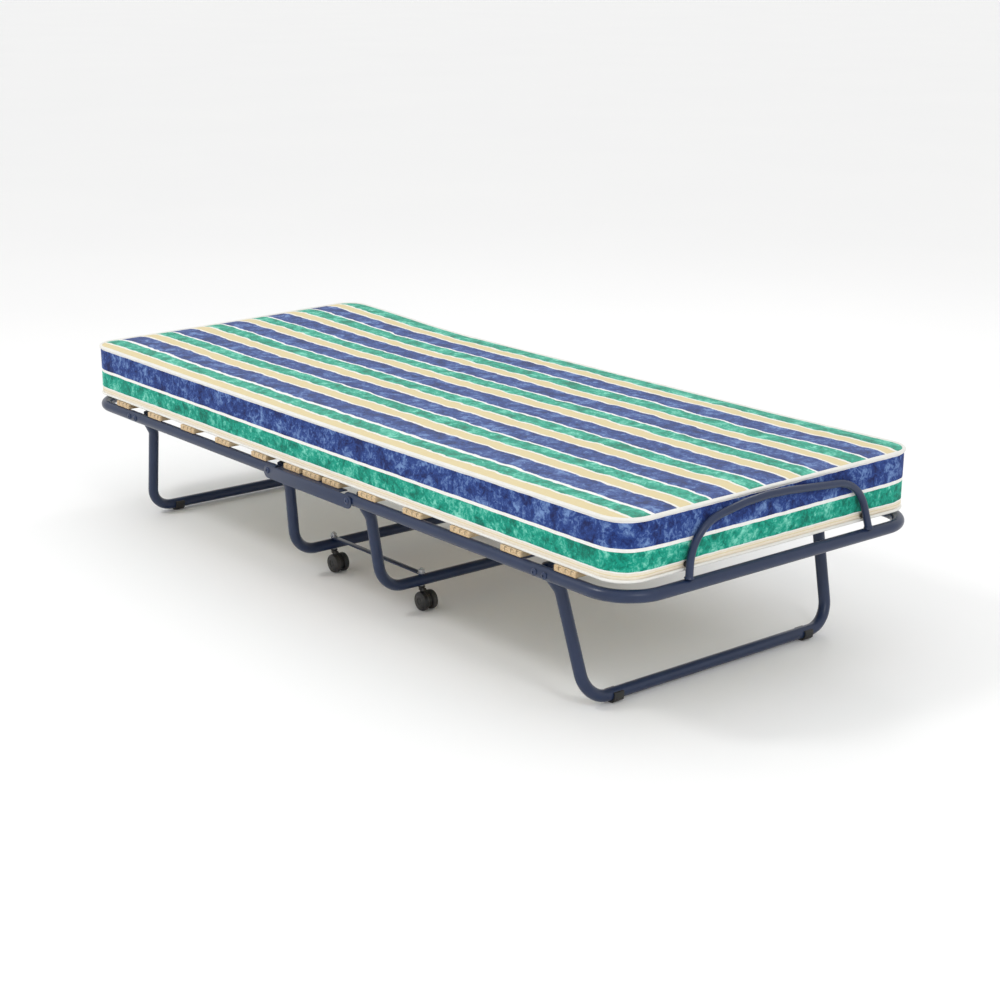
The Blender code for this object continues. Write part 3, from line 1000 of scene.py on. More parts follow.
@dataclass(frozen=True)
class StripedTicking(Finish):
    """Printed cotton ticking: lengthwise stripes on the faces and bands round the sides, with painted light
    that pales the dyes on the flat faces.
    """

    top: float = 0.4165
    seam: float = 0.0012
    underside: float = 0.1155
    print_reach: float = 0.42
    band_reach: float = 0.125
    line: float = 0.0072
    pale_line: float = 0.0070
    # painted light: the share by which blue and green on the flat top and underside are paled, so the top
    # reads as lit brighter than the sides
    top_light_pale: float = 0.14
    blue: tuple[Colour, Colour, Colour] = (srgb(18, 30, 80), srgb(38, 64, 130), srgb(112, 142, 192))
    green: tuple[Colour, Colour, Colour] = (srgb(2, 104, 86), srgb(16, 154, 130), srgb(128, 214, 192))
    yellow: Colour = srgb(219, 205, 163)
    white: Colour = srgb(236, 236, 234)
    cream: Colour = srgb(232, 223, 205)
    # painted light: the paled blue and green that the flat faces are mixed towards, standing in for the
    # brighter light on the top
    top_lit_blue: Colour = srgb(150, 165, 205)
    top_lit_green: Colour = srgb(150, 215, 185)
    faint_brown: Colour = srgb(214, 178, 118)
    edges: tuple[tuple[float, str], ...] = (
        (-0.42, "y"), (-0.365, "g"), (-0.325, "b"), (-0.264, "y"), (-0.222, "g"), (-0.178, "b"),
        (-0.1195, "y"), (-0.0765, "g"), (-0.034, "b"), (0.0255, "y"), (0.068, "g"), (0.110, "b"),
        (0.170, "y"), (0.209, "g"), (0.254, "b"), (0.309, "y"), (0.350, "g"), (0.397, "w"))
    bands: tuple[tuple[float, str], ...] = (
        (0.0, "w"), (0.0060, "b"), (0.0545, "w"), (0.0615, "g"), (0.0980, "w"), (0.1005, "c"),
        (0.1050, "y"), (0.1068, "c"), (0.1140, "w"))

    def fill(self, tree: Tree, shader: bpy.types.Node) -> None:
        """Join the stripes, bands, brushed dye, the painted light on the flat faces and the weave.

        Args:
            tree: The material's tree.
            shader: Its Principled BSDF.
        """
        place = tree.add("Attribute", attribute_name=CLOTH_PLACE).outputs["Vector"]
        parts = tree.add("SeparateXYZ", {0: place}).outputs
        slow = tree.calc("MULTIPLY", tree.calc("SUBTRACT", tree.noise(place, 8.0, 2.0), 0.5), 0.008)
        quick = tree.calc("MULTIPLY", tree.calc("SUBTRACT", tree.noise(place, 34.0, 2.0), 0.5), 0.012)
        wander = tree.calc("ADD", slow, quick)
        across = tree.calc("ADD", parts[1], wander)
        depth = tree.calc("SUBTRACT", self.top, parts[2])
        depth = tree.calc("ADD", depth, tree.calc("MULTIPLY", quick, 0.2))
        stripes = self._masks(tree, across, self.edges, -self.print_reach, self.print_reach)
        bands = self._masks(tree, depth, self.bands, 0.0, self.band_reach)
        faces = tree.calc("GREATER_THAN", parts[2], self.top - self.seam)
        under = tree.calc("LESS_THAN", parts[2], self.top - self.underside)
        flat = tree.calc("MAXIMUM", faces, under)
        plain = tree.mix(flat, bands[0], stripes[0])
        is_blue = tree.mix(flat, bands[1], stripes[1])
        is_green = tree.mix(flat, bands[2], stripes[2])
        # painted light: the flat top and underside faces get paler blue and green, standing in for light
        # falling brighter on the top
        top_light_share = tree.calc("MULTIPLY", flat, self.top_light_pale)
        blue = self._dyed(tree, place, self.blue)
        green = self._dyed(tree, place, self.green)
        faint = tree.noise(place, 140.0, 4.0, 0.65)
        plain = tree.mix(tree.span(faint, 0.4, 0.7, 0.0, 0.16), plain, (*self.faint_brown, 1))
        colour = tree.mix(is_blue, plain, tree.mix(top_light_share, blue, (*self.top_lit_blue, 1)))
        colour = tree.mix(is_green, colour, tree.mix(top_light_share, green, (*self.top_lit_green, 1)))
        edging = self._line_mask(tree, across, {"y"}, self.pale_line, 0.8)
        lines = tree.calc("MAXIMUM", self._line_mask(tree, across, {"g", "b"}, self.line, 1.0), edging)
        colour = tree.mix(tree.calc("MULTIPLY", lines, flat), colour, (*self.white, 1))
        tree.feed(shader.inputs["Base Color"], colour)
        weave = Effect.WEAVE.place(tree, {"Vector": place, "Pitch": 0.0014}).outputs["Height"]
        tree.feed(shader.inputs["Roughness"], tree.span(faint, 0.3, 0.7, 0.78, 0.92))
        bump = tree.add("Bump", {"Strength": 0.35, "Distance": 0.0003, "Height": weave})
        tree.feed(shader.inputs["Normal"], bump.outputs[0])
        shader.inputs["Sheen Weight"].default_value = 0.04
        shader.inputs["Sheen Roughness"].default_value = 0.6
        shader.inputs["Specular IOR Level"].default_value = 0.2

    def _masks(self, tree: Tree, value: bpy.types.NodeSocket, edges: Sequence[tuple[float, str]],
               low: float, high: float) -> list[bpy.types.NodeSocket]:
        """The plain colours of a run of stripes, and where its blue and its green lie.

        Args:
            tree: The material's tree.
            value: The place across the stripes, in metres.
            edges: Where each stripe begins, and its dye's letter.
            low: The first edge's place.
            high: The run's end.

        Returns:
            The plain colour, the blue mask and the green mask.
        """
        plain = {"y": self.yellow, "w": self.white, "c": self.cream, "b": self.white, "g": self.white}
        share = tree.span(value, low, high)
        tests = (lambda key: plain[key], lambda key: (float(key == "b"),) * 3,
                 lambda key: (float(key == "g"),) * 3)
        outputs = []
        for test in tests:
            stops = [((place - low) / (high - low), test(key)) for place, key in edges]
            outputs.append(tree.ramp(share, stops, hold=True).outputs[0])
        return outputs

    def _line_mask(self, tree: Tree, across: bpy.types.NodeSocket, dyes: set[str], width: float,
                   strength: float) -> bpy.types.NodeSocket:
        """Where the undyed lines lie on the borders between some of the stripes.

        Args:
            tree: The material's tree.
            across: The place across the stripes, in metres.
            dyes: The letters that a border must have: both, or the one given.
            width: The line's width.
            strength: How plainly the line shows.

        Returns:
            The mask.
        """
        reach = self.print_reach
        stops = [(0.0, (0.0, 0.0, 0.0))]
        for (_, before), (place, after) in zip(self.edges[:-1], self.edges[1:]):
            if not dyes <= {before, after}:
                continue
            shift = 0.0 if after == "y" else width if before == "y" else width / 2
            first = (place - shift + reach) / (2 * reach)
            stops.append((first, (strength,) * 3))
            stops.append((first + width / (2 * reach), (0.0, 0.0, 0.0)))
        return tree.ramp(tree.span(across, -reach, reach), stops, hold=True).outputs[0]

    @staticmethod
    def _dyed(tree: Tree, place: bpy.types.NodeSocket,
              shades: tuple[Colour, Colour, Colour]) -> bpy.types.NodeSocket:
        """A brushed colour.

        Args:
            tree: The material's tree.
            place: The cloth's coordinates.
            shades: The dye's dark, middle and light shades.

        Returns:
            The colour.
        """
        names = ("Dark", "Middle", "Light")
        values = {name: (*colour, 1) for name, colour in zip(names, shades)}
        return Effect.DYE.place(tree, {"Vector": place, **values}).outputs["Color"]


@dataclass(frozen=True)
class Floor(Finish):
    """Pale studio floor with the faintest mottling."""

    def fill(self, tree: Tree, shader: bpy.types.Node) -> None:
        """Join the floor's slow change of tone.

        Args:
            tree: The material's tree.
            shader: Its Principled BSDF.
        """
        cloud = tree.noise(self.place(tree), 0.8, 3.0, 0.5)
        tree.feed(shader.inputs["Base Color"],
                  tree.mix(cloud, (0.93, 0.93, 0.93, 1), (0.96, 0.96, 0.955, 1)))
        shader.inputs["Roughness"].default_value = 0.7
        shader.inputs["Specular IOR Level"].default_value = 0.2


PAINT = PowderCoat("blue powder coat")
RIVET_PAINT = PowderCoat("painted rivet", srgb(35, 48, 78), srgb(66, 82, 116), 0.24)
BEECH = PlanedBeech("planed beech")
NYLON = MouldedPlastic("black nylon", srgb(24, 24, 25), 0.34, 0.2, 0.5)
SHOE = MouldedPlastic("black shoe plastic", srgb(27, 28, 30), 0.5, 0.35, 0.4)
RUBBER = MouldedPlastic("black rubber", srgb(30, 29, 28), 0.7, 0.4, 0.3)
ZINC = ZincPlate("bright zinc plate")
WIRE = ZincPlate("dark staple wire", srgb(92, 78, 62), 0.45)
TAPE = Piping("white piping tape")
TICKING = StripedTicking("striped ticking")


# ---------------------------------------------------------------- the steel frame
@dataclass
class Rails:
    """The two U-shaped halves of the bed frame."""

    length: float = 1.953
    width: float = 0.805
    bend_radius: float = 0.088
    height: float = 0.2725
    fold_x: float = 0.151
    tail: float = 0.018
    tube_radius: float = 0.0125
    leg_x: float = 0.746
    stop_x: float = 0.774

    def build(self) -> None:
        """Bend both halves, pressed flat where the rivets pass."""
        for side in Side:
            sign = side.value
            start, end = sign * (self.fold_x - self.tail), sign * self.length / 2
            half = self.width / 2
            corners = [Vector((start, -half, self.height)), Vector((end, -half, self.height)),
                       Vector((end, half, self.height)), Vector((start, half, self.height))]
            swells = []
            for edge in Edge:
                for x, reach in ((self.fold_x, 0.020), (self.leg_x, 0.021), (self.stop_x, 0.021)):
                    place = Vector((sign * x, edge.value * half, self.height))
                    swells.append(Swell(place, reach, (1.0, 0.9, 1.06)))
            tube = TubeBender(self.tube_radius).draw(
                f"{side.label}_bed_rail", corners, [self.bend_radius] * 2, swells, Mouth())
            finish_piece(tube, PAINT, "powder_coat", f"{side.label}_half", f"{side.label}_frame")


@dataclass
class Legs:
    """The four U-shaped legs: two that fold in under the halves and two that carry the castors."""

    height: float = 0.2725
    tube_radius: float = 0.0125
    top_y: float = 0.3772
    neck_y: float = 0.3580
    foot_y: float = 0.3390
    neck_drop: float = 0.045
    top_rise: float = 0.010
    bend_radius: float = 0.060
    neck_radius: float = 0.035
    end_x: float = 0.746
    end_splay: float = 15.0
    end_bar_z: float = 0.0165
    centre_x: float = 0.151
    centre_splay: float = 4.0
    centre_bar_z: float = 0.0635

    def build(self) -> None:
        """Bend the two end legs and the two centre legs."""
        for side in Side:
            end = self._bend(side, f"{side.label}_end_leg_tube", self.end_x, self.end_splay,
                             self.end_bar_z)
            finish_piece(end, PAINT, "powder_coat", f"{side.label}_end_leg", f"{side.label}_leg")
            centre = self._bend(side, f"{side.label}_centre_leg_tube", self.centre_x, self.centre_splay,
                                self.centre_bar_z)
            finish_piece(centre, PAINT, "powder_coat", "centre_section", f"centre_leg_{side.label}")

    def _bend(self, side: Side, name: str, pivot_x: float, splay: float, bar_z: float) -> Thing:
        """Bend one leg.

        Args:
            side: The half that it stands under.
            name: The leg's name.
            pivot_x: How far its pivot is from the middle of the bed.
            splay: Its lean, in degrees.
            bar_z: Its crossbar's height.

        Returns:
            The leg.
        """
        lean = math.radians(splay)
        down = Vector((side.value * math.sin(lean), 0.0, -math.cos(lean)))
        top = Vector((side.value * pivot_x, 0.0, self.height))
        drop = (self.height - bar_z) / math.cos(lean)
        stations = [(self.top_y, -self.top_rise), (self.top_y, self.neck_drop * 0.35),
                    (self.neck_y, self.neck_drop), (self.foot_y, drop)]
        corners = [top + down * fall + Vector((0, -y, 0)) for y, fall in stations]
        corners += [top + down * fall + Vector((0, y, 0)) for y, fall in reversed(stations)]
        radii = [self.neck_radius, self.neck_radius, self.bend_radius,
                 self.bend_radius, self.neck_radius, self.neck_radius]
        swells = [Swell(top + Vector((0, edge.value * self.top_y, 0)), 0.016, (1.06, 0.9, 1.0))
                  for edge in Edge]
        return TubeBender(self.tube_radius).draw(name, corners, radii, swells)


@dataclass
class HeadArch:
    """The thin tube arch on the head end's rail, with a rubber buffer on each upright."""

    tube_radius: float = 0.0075
    x: float = 0.9805
    near_foot: tuple[float, float] = (-0.2465, 0.2860)
    near_shoulder: tuple[float, float] = (-0.2425, 0.3790)
    crown: tuple[float, float] = (-0.0790, 0.4135)
    far_shoulder: tuple[float, float] = (0.2120, 0.3890)
    far_foot: tuple[float, float] = (0.2490, 0.2862)
    bend_radii: tuple[float, float, float] = (0.085, 0.60, 0.095)
    buffer_z: float = 0.312
    mattress_x: float = 0.969
    buffer_gap: float = 0.0005

    def build(self) -> None:
        """Bend the arch, run its welds and press on its buffers."""
        path = (self.near_foot, self.near_shoulder, self.crown, self.far_shoulder, self.far_foot)
        corners = [Vector((self.x, y, z)) for y, z in path]
        welds = [Swell(foot, 0.006, (1.3, 1.3, 1.0)) for foot in (corners[0], corners[-1])]
        arch = TubeBender(self.tube_radius, 28, math.radians(5.0)).draw(
            "head_end_arch", corners, self.bend_radii, welds)
        finish_piece(arch, PAINT, "powder_coat", "right_half", "head_arch")
        back = self.x - self.tube_radius
        reach = back - self.mattress_x - self.buffer_gap
        profile = [(0.0044, 0.004), (0.0060, 0.003), (0.0064, 0.0), (0.0064, -reach * 0.5),
                   (0.0058, -reach), (0.0030, -reach - 0.0003)]
        stock = turn("stock_rubber", profile, Vector((back, 0, self.buffer_z)), Vector((1, 0, 0)), 28)
        uprights = {Edge.NEAR: (corners[0], corners[1]), Edge.FAR: (corners[4], corners[3])}
        for edge, (foot, shoulder) in uprights.items():
            rise = (self.buffer_z - foot.z) / (shoulder.z - foot.z)
            shift = Vector((0, foot.y + (shoulder.y - foot.y) * rise, 0))
            buffer = copy_to(stock, f"arch_rubber_{edge.label}", shift)
            finish_piece(buffer, RUBBER, "buffer_rubber", "right_half", f"arch_buffer_{edge.label}")
        bpy.data.objects.remove(stock, do_unlink=True)


@dataclass
class CentrePlates:
    """The sheet plates outside the rails and the flat bars that tie the two centre legs."""

    fold_x: float = 0.151
    inner_y: float = 0.4153
    thickness: float = 0.0025
    height: float = 0.030
    top_z: float = 0.285
    flange_width: float = 0.022
    flange_half: float = 0.120
    tie_y: float = 0.234
    tie_width: float = 0.014
    tie_thickness: float = 0.003
    tie_z: float = 0.0763
    bar_x: float = 0.1656

    def build(self) -> None:
        """Cut and fold both side plates and both tie bars."""
        stock = self._tie_bar()
        for edge in Edge:
            self._side_plate(edge)
            bar = copy_to(stock, f"tie_strip_{edge.label}", Vector((0, edge.value * self.tie_y, 0)))
            finish_piece(bar, PAINT, "powder_coat", "centre_section", f"tie_bar_{edge.label}")
        bpy.data.objects.remove(stock, do_unlink=True)

    @staticmethod
    def _strip(name: str, half_length: float, width: float, thickness: float) -> Thing:
        """A flat strip with fully rounded ends, lying on XY about the origin, its lower face at Z = 0.

        Args:
            name: The strip's name.
            half_length: Half its length along X.
            width: Its width along Y.
            thickness: Its thickness along Z.

        Returns:
            The strip.
        """
        stand_back()
        bpy.ops.mesh.primitive_plane_add(size=1.0)
        strip = bpy.context.object
        strip.name = name
        strip.scale = (2 * half_length, width, 1.0)
        settle(strip)
        open_mesh(strip)
        bpy.ops.mesh.bevel(offset=width * 0.499, segments=10, affect="VERTICES")
        bpy.ops.mesh.select_all(action="SELECT")
        bpy.ops.mesh.extrude_region_move(TRANSFORM_OT_translate={"value": (0, 0, thickness)})
        return close_up(strip)

    def _side_plate(self, edge: Edge) -> None:
        """Make one plate, with its flange folded in under the centre slats.

        Args:
            edge: The long edge that it is on.
        """
        half_length = self.fold_x + self.height / 2
        plate = self._strip(f"plate_{edge.label}", half_length, self.height, self.thickness)
        place = Vector((0, edge.value * self.inner_y, self.top_z - self.height / 2))
        turn_up = Matrix.Rotation(math.radians(-90 * edge.value), 4, "X")
        plate.data.transform(Matrix.Translation(place) @ turn_up)
        outer = edge.value * (self.inner_y + self.thickness * 0.6)
        inner = edge.value * (self.inner_y - self.flange_width)
        low = Vector((-self.flange_half, min(inner, outer), self.top_z - self.thickness))
        flange = box("flange", low, Vector((self.flange_half, max(inner, outer), self.top_z)))
        piece = gather(f"side_plate_sheet_{edge.label}", [plate, flange])
        shade(ease_edges(piece, 0.0007, 2), 30.0)
        finish_piece(piece, PAINT, "powder_coat", "centre_section", f"side_plate_{edge.label}")

    def _tie_bar(self) -> Thing:
        """The flat bar between the centre legs' crossbars, on the bed's long axis.

        Returns:
            The bar.
        """
        bar = self._strip("stock_tie_strip", self.bar_x + self.tie_width / 2, self.tie_width,
                          self.tie_thickness)
        bar.data.transform(Matrix.Translation(Vector((0, 0, self.tie_z))))
        return shade(ease_edges(bar, 0.0005, 2), 30.0)


@dataclass
class Rivets:
    """The twelve rivets: fold pivots, leg pivots and leg stops."""

    height: float = 0.2725
    head_radius: float = 0.0075
    head_height: float = 0.0034
    shank: float = 0.0039
    fold_x: float = 0.151
    leg_x: float = 0.746
    stop_x: float = 0.774
    rail_seat: float = 0.4142
    plate_face: float = 0.4178
    leg_face: float = 0.3647
    rail_inner: float = 0.3900

    def build(self) -> None:
        """Turn each kind of rivet for each edge and set a copy at each of its places."""
        kinds = (("fold_rivet", "fold_rivet_head", self.fold_x, self.plate_face, self.leg_face),
                 ("leg_pivot", "leg_pivot_head", self.leg_x, self.rail_seat, self.leg_face),
                 ("leg_stop", "leg_stop_head", self.stop_x, self.rail_seat, self.rail_inner))
        stock = {(node, edge): self._rivet(edge, outer, inner)
                 for node, _, _, outer, inner in kinds for edge in Edge}
        for side in Side:
            for edge in Edge:
                label = f"{side.label}_{edge.label}"
                for node, name, x, _, _ in kinds:
                    body = "centre_section" if node == "fold_rivet" else f"{side.label}_half"
                    rivet = copy_to(stock[node, edge], f"{name}_{label}", Vector((side.value * x, 0, 0)))
                    finish_piece(rivet, RIVET_PAINT, "rivet_steel", body, f"{node}_{label}")
        for rivet in stock.values():
            bpy.data.objects.remove(rivet, do_unlink=True)

    def _rivet(self, edge: Edge, outer: float, inner: float) -> Thing:
        """Turn one rivet with a domed, dimpled head and an upset tail, at the middle of the bed.

        Args:
            edge: The long edge that it is on.
            outer: The face under its head, from the bed's long axis.
            inner: The face under its tail.

        Returns:
            The rivet.
        """
        crown = self.head_height
        profile = [(0.0018, crown - 0.0026), (0.0024, crown - 0.0022), (0.0028, crown - 0.0006)]
        profile += dome(self.head_radius, 0.0004, crown - 0.0004, 6)[3:]
        tail = inner - outer
        profile += [(self.head_radius, 0.0), (self.shank, -0.0001), (self.shank, tail),
                    (self.head_radius * 0.86, tail - 0.0002), (self.head_radius * 0.84, tail - 0.0014),
                    (self.head_radius * 0.5, tail - 0.0022)]
        place = Vector((0, edge.value * outer, self.height))
        return turn("stock_rivet", profile, place, Vector((0, edge.value, 0)), 28, 40.0)


# ---------------------------------------------------------------- what it stands on
@dataclass
class Castors:
    """Four twin-wheel castors with their stems, nuts and washers."""

    bar_x: float = 0.165615
    y: float = 0.234
    trail: float = 0.016
    wheel_radius: float = 0.0215
    wheel_width: float = 0.014
    spacing: float = 0.024
    bar_low: float = 0.051
    tie_top: float = 0.0793

    def build(self) -> None:
        """Make one castor's pieces and copy them to the four places."""
        stock = {"_castor_wheel_pair": self._wheels(), "castor_hood": self._hood(),
                 "castor_boss": self._boss(), "castor_pin": self._pin(), "castor_nut": self._nut()}
        for side in Side:
            for edge in Edge:
                label = f"{side.label}_{edge.label}"
                shift = Vector((side.value * self.bar_x, edge.value * self.y, 0.0))
                wheels, hood, boss, pin, nut = (copy_to(piece, f"{name}_{label}", shift)
                                                for name, piece in stock.items())
                roller, swivel = f"castor_roller_{label}", f"castor_swivel_{label}"
                finish_piece(wheels, NYLON, "black_nylon", roller, f"castor_wheels_{label}")
                finish_piece(hood, NYLON, "black_nylon", swivel, f"castor_body_{label}")
                finish_piece(boss, NYLON, "black_nylon", swivel)
                finish_piece(pin, ZINC, "zinc_plate", swivel)
                finish_piece(nut, ZINC, "zinc_plate", "centre_section", f"castor_nut_{label}")
        for piece in stock.values():
            bpy.data.objects.remove(piece, do_unlink=True)

    def _wheels(self) -> Thing:
        """Both wheels on their axle, with a ringed, slightly domed outer face.

        Returns:
            The wheel pair.
        """
        radius = self.wheel_radius
        outer = self.spacing / 2 + self.wheel_width / 2
        inner = self.spacing / 2 - self.wheel_width / 2
        half = [(0.0020, outer - 0.0004), (0.0052, outer - 0.0006), (0.0058, outer - 0.0016),
                (0.0070, outer - 0.0018), (0.0076, outer - 0.0004), (0.0120, outer - 0.0001),
                (0.0158, outer - 0.0012), (0.0164, outer - 0.0022), (0.0170, outer - 0.0013),
                (radius - 0.0028, outer - 0.0014), (radius - 0.0012, outer - 0.0022),
                (radius - 0.0002, outer - 0.0042), (radius, outer - 0.0065), (radius, inner + 0.0050),
                (radius - 0.0003, inner + 0.0028), (radius - 0.0014, inner + 0.0010),
                (radius - 0.0034, inner), (0.0060, inner), (0.0056, inner - 0.0004),
                (0.0030, inner - 0.0005)]
        profile = half + [(r, -height) for r, height in reversed(half)]
        return turn("stock_wheels", profile, Vector((self.trail, 0, radius)),
                    Vector((0, 1, 0)), 48, 30.0)

    def _hood(self) -> Thing:
        """The web between the wheels: a round cheek that runs up into the stem's boss.

        Returns:
            The web.
        """
        thickness = self.spacing - self.wheel_width - 0.0026
        stand_back()
        bpy.ops.mesh.primitive_cylinder_add(vertices=48, radius=0.0168, depth=thickness,
                                            location=(self.trail, 0, self.wheel_radius),
                                            rotation=(math.pi / 2, 0, 0))
        cheek = settle(bpy.context.object)
        open_mesh(cheek)
        pick_faces(cheek, lambda face: face.normal.z > 0.45 and face.normal.x < 0.35)
        bpy.ops.mesh.extrude_region_move(TRANSFORM_OT_translate={"value": (-0.0085, 0, 0.0105)})
        top = self.wheel_radius * 2 + 0.0035
        bpy.ops.transform.resize(value=(0.72, 1, 0.1), center_override=(0.0005, 0, top))
        return shade(ease_edges(close_up(cheek), 0.0008, 2), 30.0)

    def _boss(self) -> Thing:
        """The stem's moulded boss, with a collar under the crossbar.

        Returns:
            The boss.
        """
        low, high = self.wheel_radius * 2 - 0.003, self.bar_low - 0.0012
        profile = [(0.0040, low), (0.0062, low + 0.0008), (0.0066, low + 0.003),
                   (0.0066, high - 0.0026), (0.0078, high - 0.0022), (0.0080, high - 0.0006),
                   (0.0074, high), (0.0042, high + 0.0001)]
        return turn("stock_boss", profile, Vector(), Vector((0, 0, 1)), 32)

    def _pin(self) -> Thing:
        """The stem's threaded end, from the boss up through the crossbar and the nut.

        Returns:
            The threaded pin.
        """
        top = self.tie_top + 0.0114
        profile = [(0.0039, self.bar_low - 0.002), (0.0039, self.tie_top + 0.0076)]
        height = self.tie_top + 0.0078
        while height < top - 0.0012:
            profile += [(0.0036, height), (0.0040, height + 0.0005)]
            height += 0.0010
        profile += [(0.0038, top - 0.0006), (0.0030, top)]
        return turn("stock_pin", profile, Vector(), Vector((0, 0, 1)), 24, 20.0)

    def _nut(self) -> Thing:
        """A washer and a chamfered hexagon nut on the tie bar.

        Returns:
            The nut and its washer as one piece.
        """
        low = self.tie_top + 0.0002
        profile = [(0.0043, low), (0.0086, low), (0.0090, low + 0.0003), (0.0090, low + 0.0009),
                   (0.0086, low + 0.0012), (0.0043, low + 0.0012)]
        washer = turn("stock_washer", profile, Vector(), Vector((0, 0, 1)), 32)
        stand_back()
        base, height = low + 0.0012, 0.0062
        bpy.ops.mesh.primitive_cylinder_add(vertices=6, radius=0.0076, depth=height,
                                            location=(0, 0, base + height / 2))
        nut = settle(bpy.context.object)
        open_mesh(nut)
        pick_faces(nut, lambda face: face.normal.z > 0.9)
        bpy.ops.mesh.inset(thickness=0.0009, depth=0.0007)
        bpy.ops.mesh.inset(thickness=0.0018, depth=-0.0003)
        close_up(nut)
        ease_edges(nut, 0.0003, 2, 25.0)
        return shade(gather("stock_nut", [nut, washer]), 25.0)


@dataclass
class Shoes:
    """The four moulded shoes that clip under the end legs' crossbars."""

    bar_x: float = 0.814595
    bar_z: float = 0.0165
    y: float = 0.268
    length: float = 0.024
    outer_radius: float = 0.0165
    inner_radius: float = 0.0127

    def build(self) -> None:
        """Mould one shoe and copy it to the four places."""
        shoe = self._mould()
        for side in Side:
            for edge in Edge:
                shift = Vector((side.value * self.bar_x, edge.value * self.y, self.bar_z))
                made = copy_to(shoe, f"{side.label}_leg_shoe_{edge.label}", shift)
                finish_piece(made, SHOE, "shoe_plastic", f"{side.label}_end_leg",
                             f"{side.label}_foot_{edge.label}")
        bpy.data.objects.remove(shoe, do_unlink=True)

    def _mould(self) -> Thing:
        """A C-shaped clip with a flat sole, about the crossbar's axis.

        Returns:
            The shoe.
        """
        stand_back()
        bpy.ops.mesh.primitive_cylinder_add(vertices=64, radius=self.outer_radius, depth=self.length,
                                            rotation=(math.pi / 2, 0, 0))
        shoe = settle(bpy.context.object)
        shoe.name = "stock_shoe"
        open_mesh(shoe)
        pick_edges(shoe, lambda a, b: a.z < -0.0085 and b.z < -0.0085 and abs(a.y - b.y) > 0.01)
        bpy.ops.transform.resize(value=(1.12, 1, 1), center_override=(0, 0, 0))
        close_up(shoe)
        for low, high in (((-0.03, -0.05, 0.0067), (0.03, 0.05, 0.03)),
                          ((-0.03, -0.05, -0.03), (0.03, 0.05, -self.bar_z))):
            cut(shoe, box("trim", Vector(low), Vector(high)))
        stand_back()
        bpy.ops.mesh.primitive_cylinder_add(vertices=64, radius=self.inner_radius, depth=0.1,
                                            rotation=(math.pi / 2, 0, 0))
        cut(shoe, settle(bpy.context.object))
        return shade(ease_edges(shoe, 0.0007, 2, 40.0), 35.0)


# ---------------------------------------------------------------- the slats
@dataclass
class Slats:
    """The thirteen slats and the staples that show on their ends."""

    length: float = 0.812
    low_z: float = 0.2853
    thickness: float = 0.012
    centre_pitch: float = 0.074
    outer_x: float = 0.205
    outer_pitch: float = 0.154
    outer_count: int = 5
    staple_places: tuple[float, ...] = (-0.016, 0.002, 0.018)
    wire: float = 0.0011

    def build(self) -> None:
        """Dress the slats in wood and drive the staples."""
        for name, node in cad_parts.items():
            if "slat" in name:
                dress(node, BEECH)
        groups = {"centre_section": [index * self.centre_pitch for index in (-1, 0, 1)]}
        for side in Side:
            groups[f"{side.label}_half"] = [side.value * (self.outer_x + index * self.outer_pitch)
                                            for index in range(self.outer_count)]
        stock = self._staple()
        high_z = self.low_z + self.thickness
        for body, places in groups.items():
            made = []
            for x in places:
                for edge in Edge:
                    for offset in self.staple_places:
                        shift = Vector((x + offset, edge.value * self.length / 2, high_z))
                        made.append(copy_to(stock, "staple", shift))
            piece = gather(f"slat_staples_{body}", made)
            finish_piece(piece, WIRE, "zinc_plate", body)
        bpy.data.objects.remove(stock, do_unlink=True)

    def _staple(self) -> Thing:
        """A small wire fastener driven into the end grain, about the top edge's middle.

        Returns:
            The staple.
        """
        half = self.wire / 2
        leg = box("staple_leg", Vector((-half, -0.0004, -0.0078)), Vector((half, 0.0004, -0.0012)))
        open_mesh(leg)
        pick_faces(leg, lambda face: face.normal.z > 0.9)
        bpy.ops.mesh.extrude_region_move(TRANSFORM_OT_translate={"value": (0, 0, 0.0008)})
        pick_faces(leg, lambda face: face.normal.x > 0.9 and face.calc_center_median().z > -0.0012)
        bpy.ops.mesh.extrude_region_move(TRANSFORM_OT_translate={"value": (0.0055, 0, 0)})
        close_up(leg)
        leg.name = "stock_staple"
        return ease_edges(leg, 0.0002, 1)


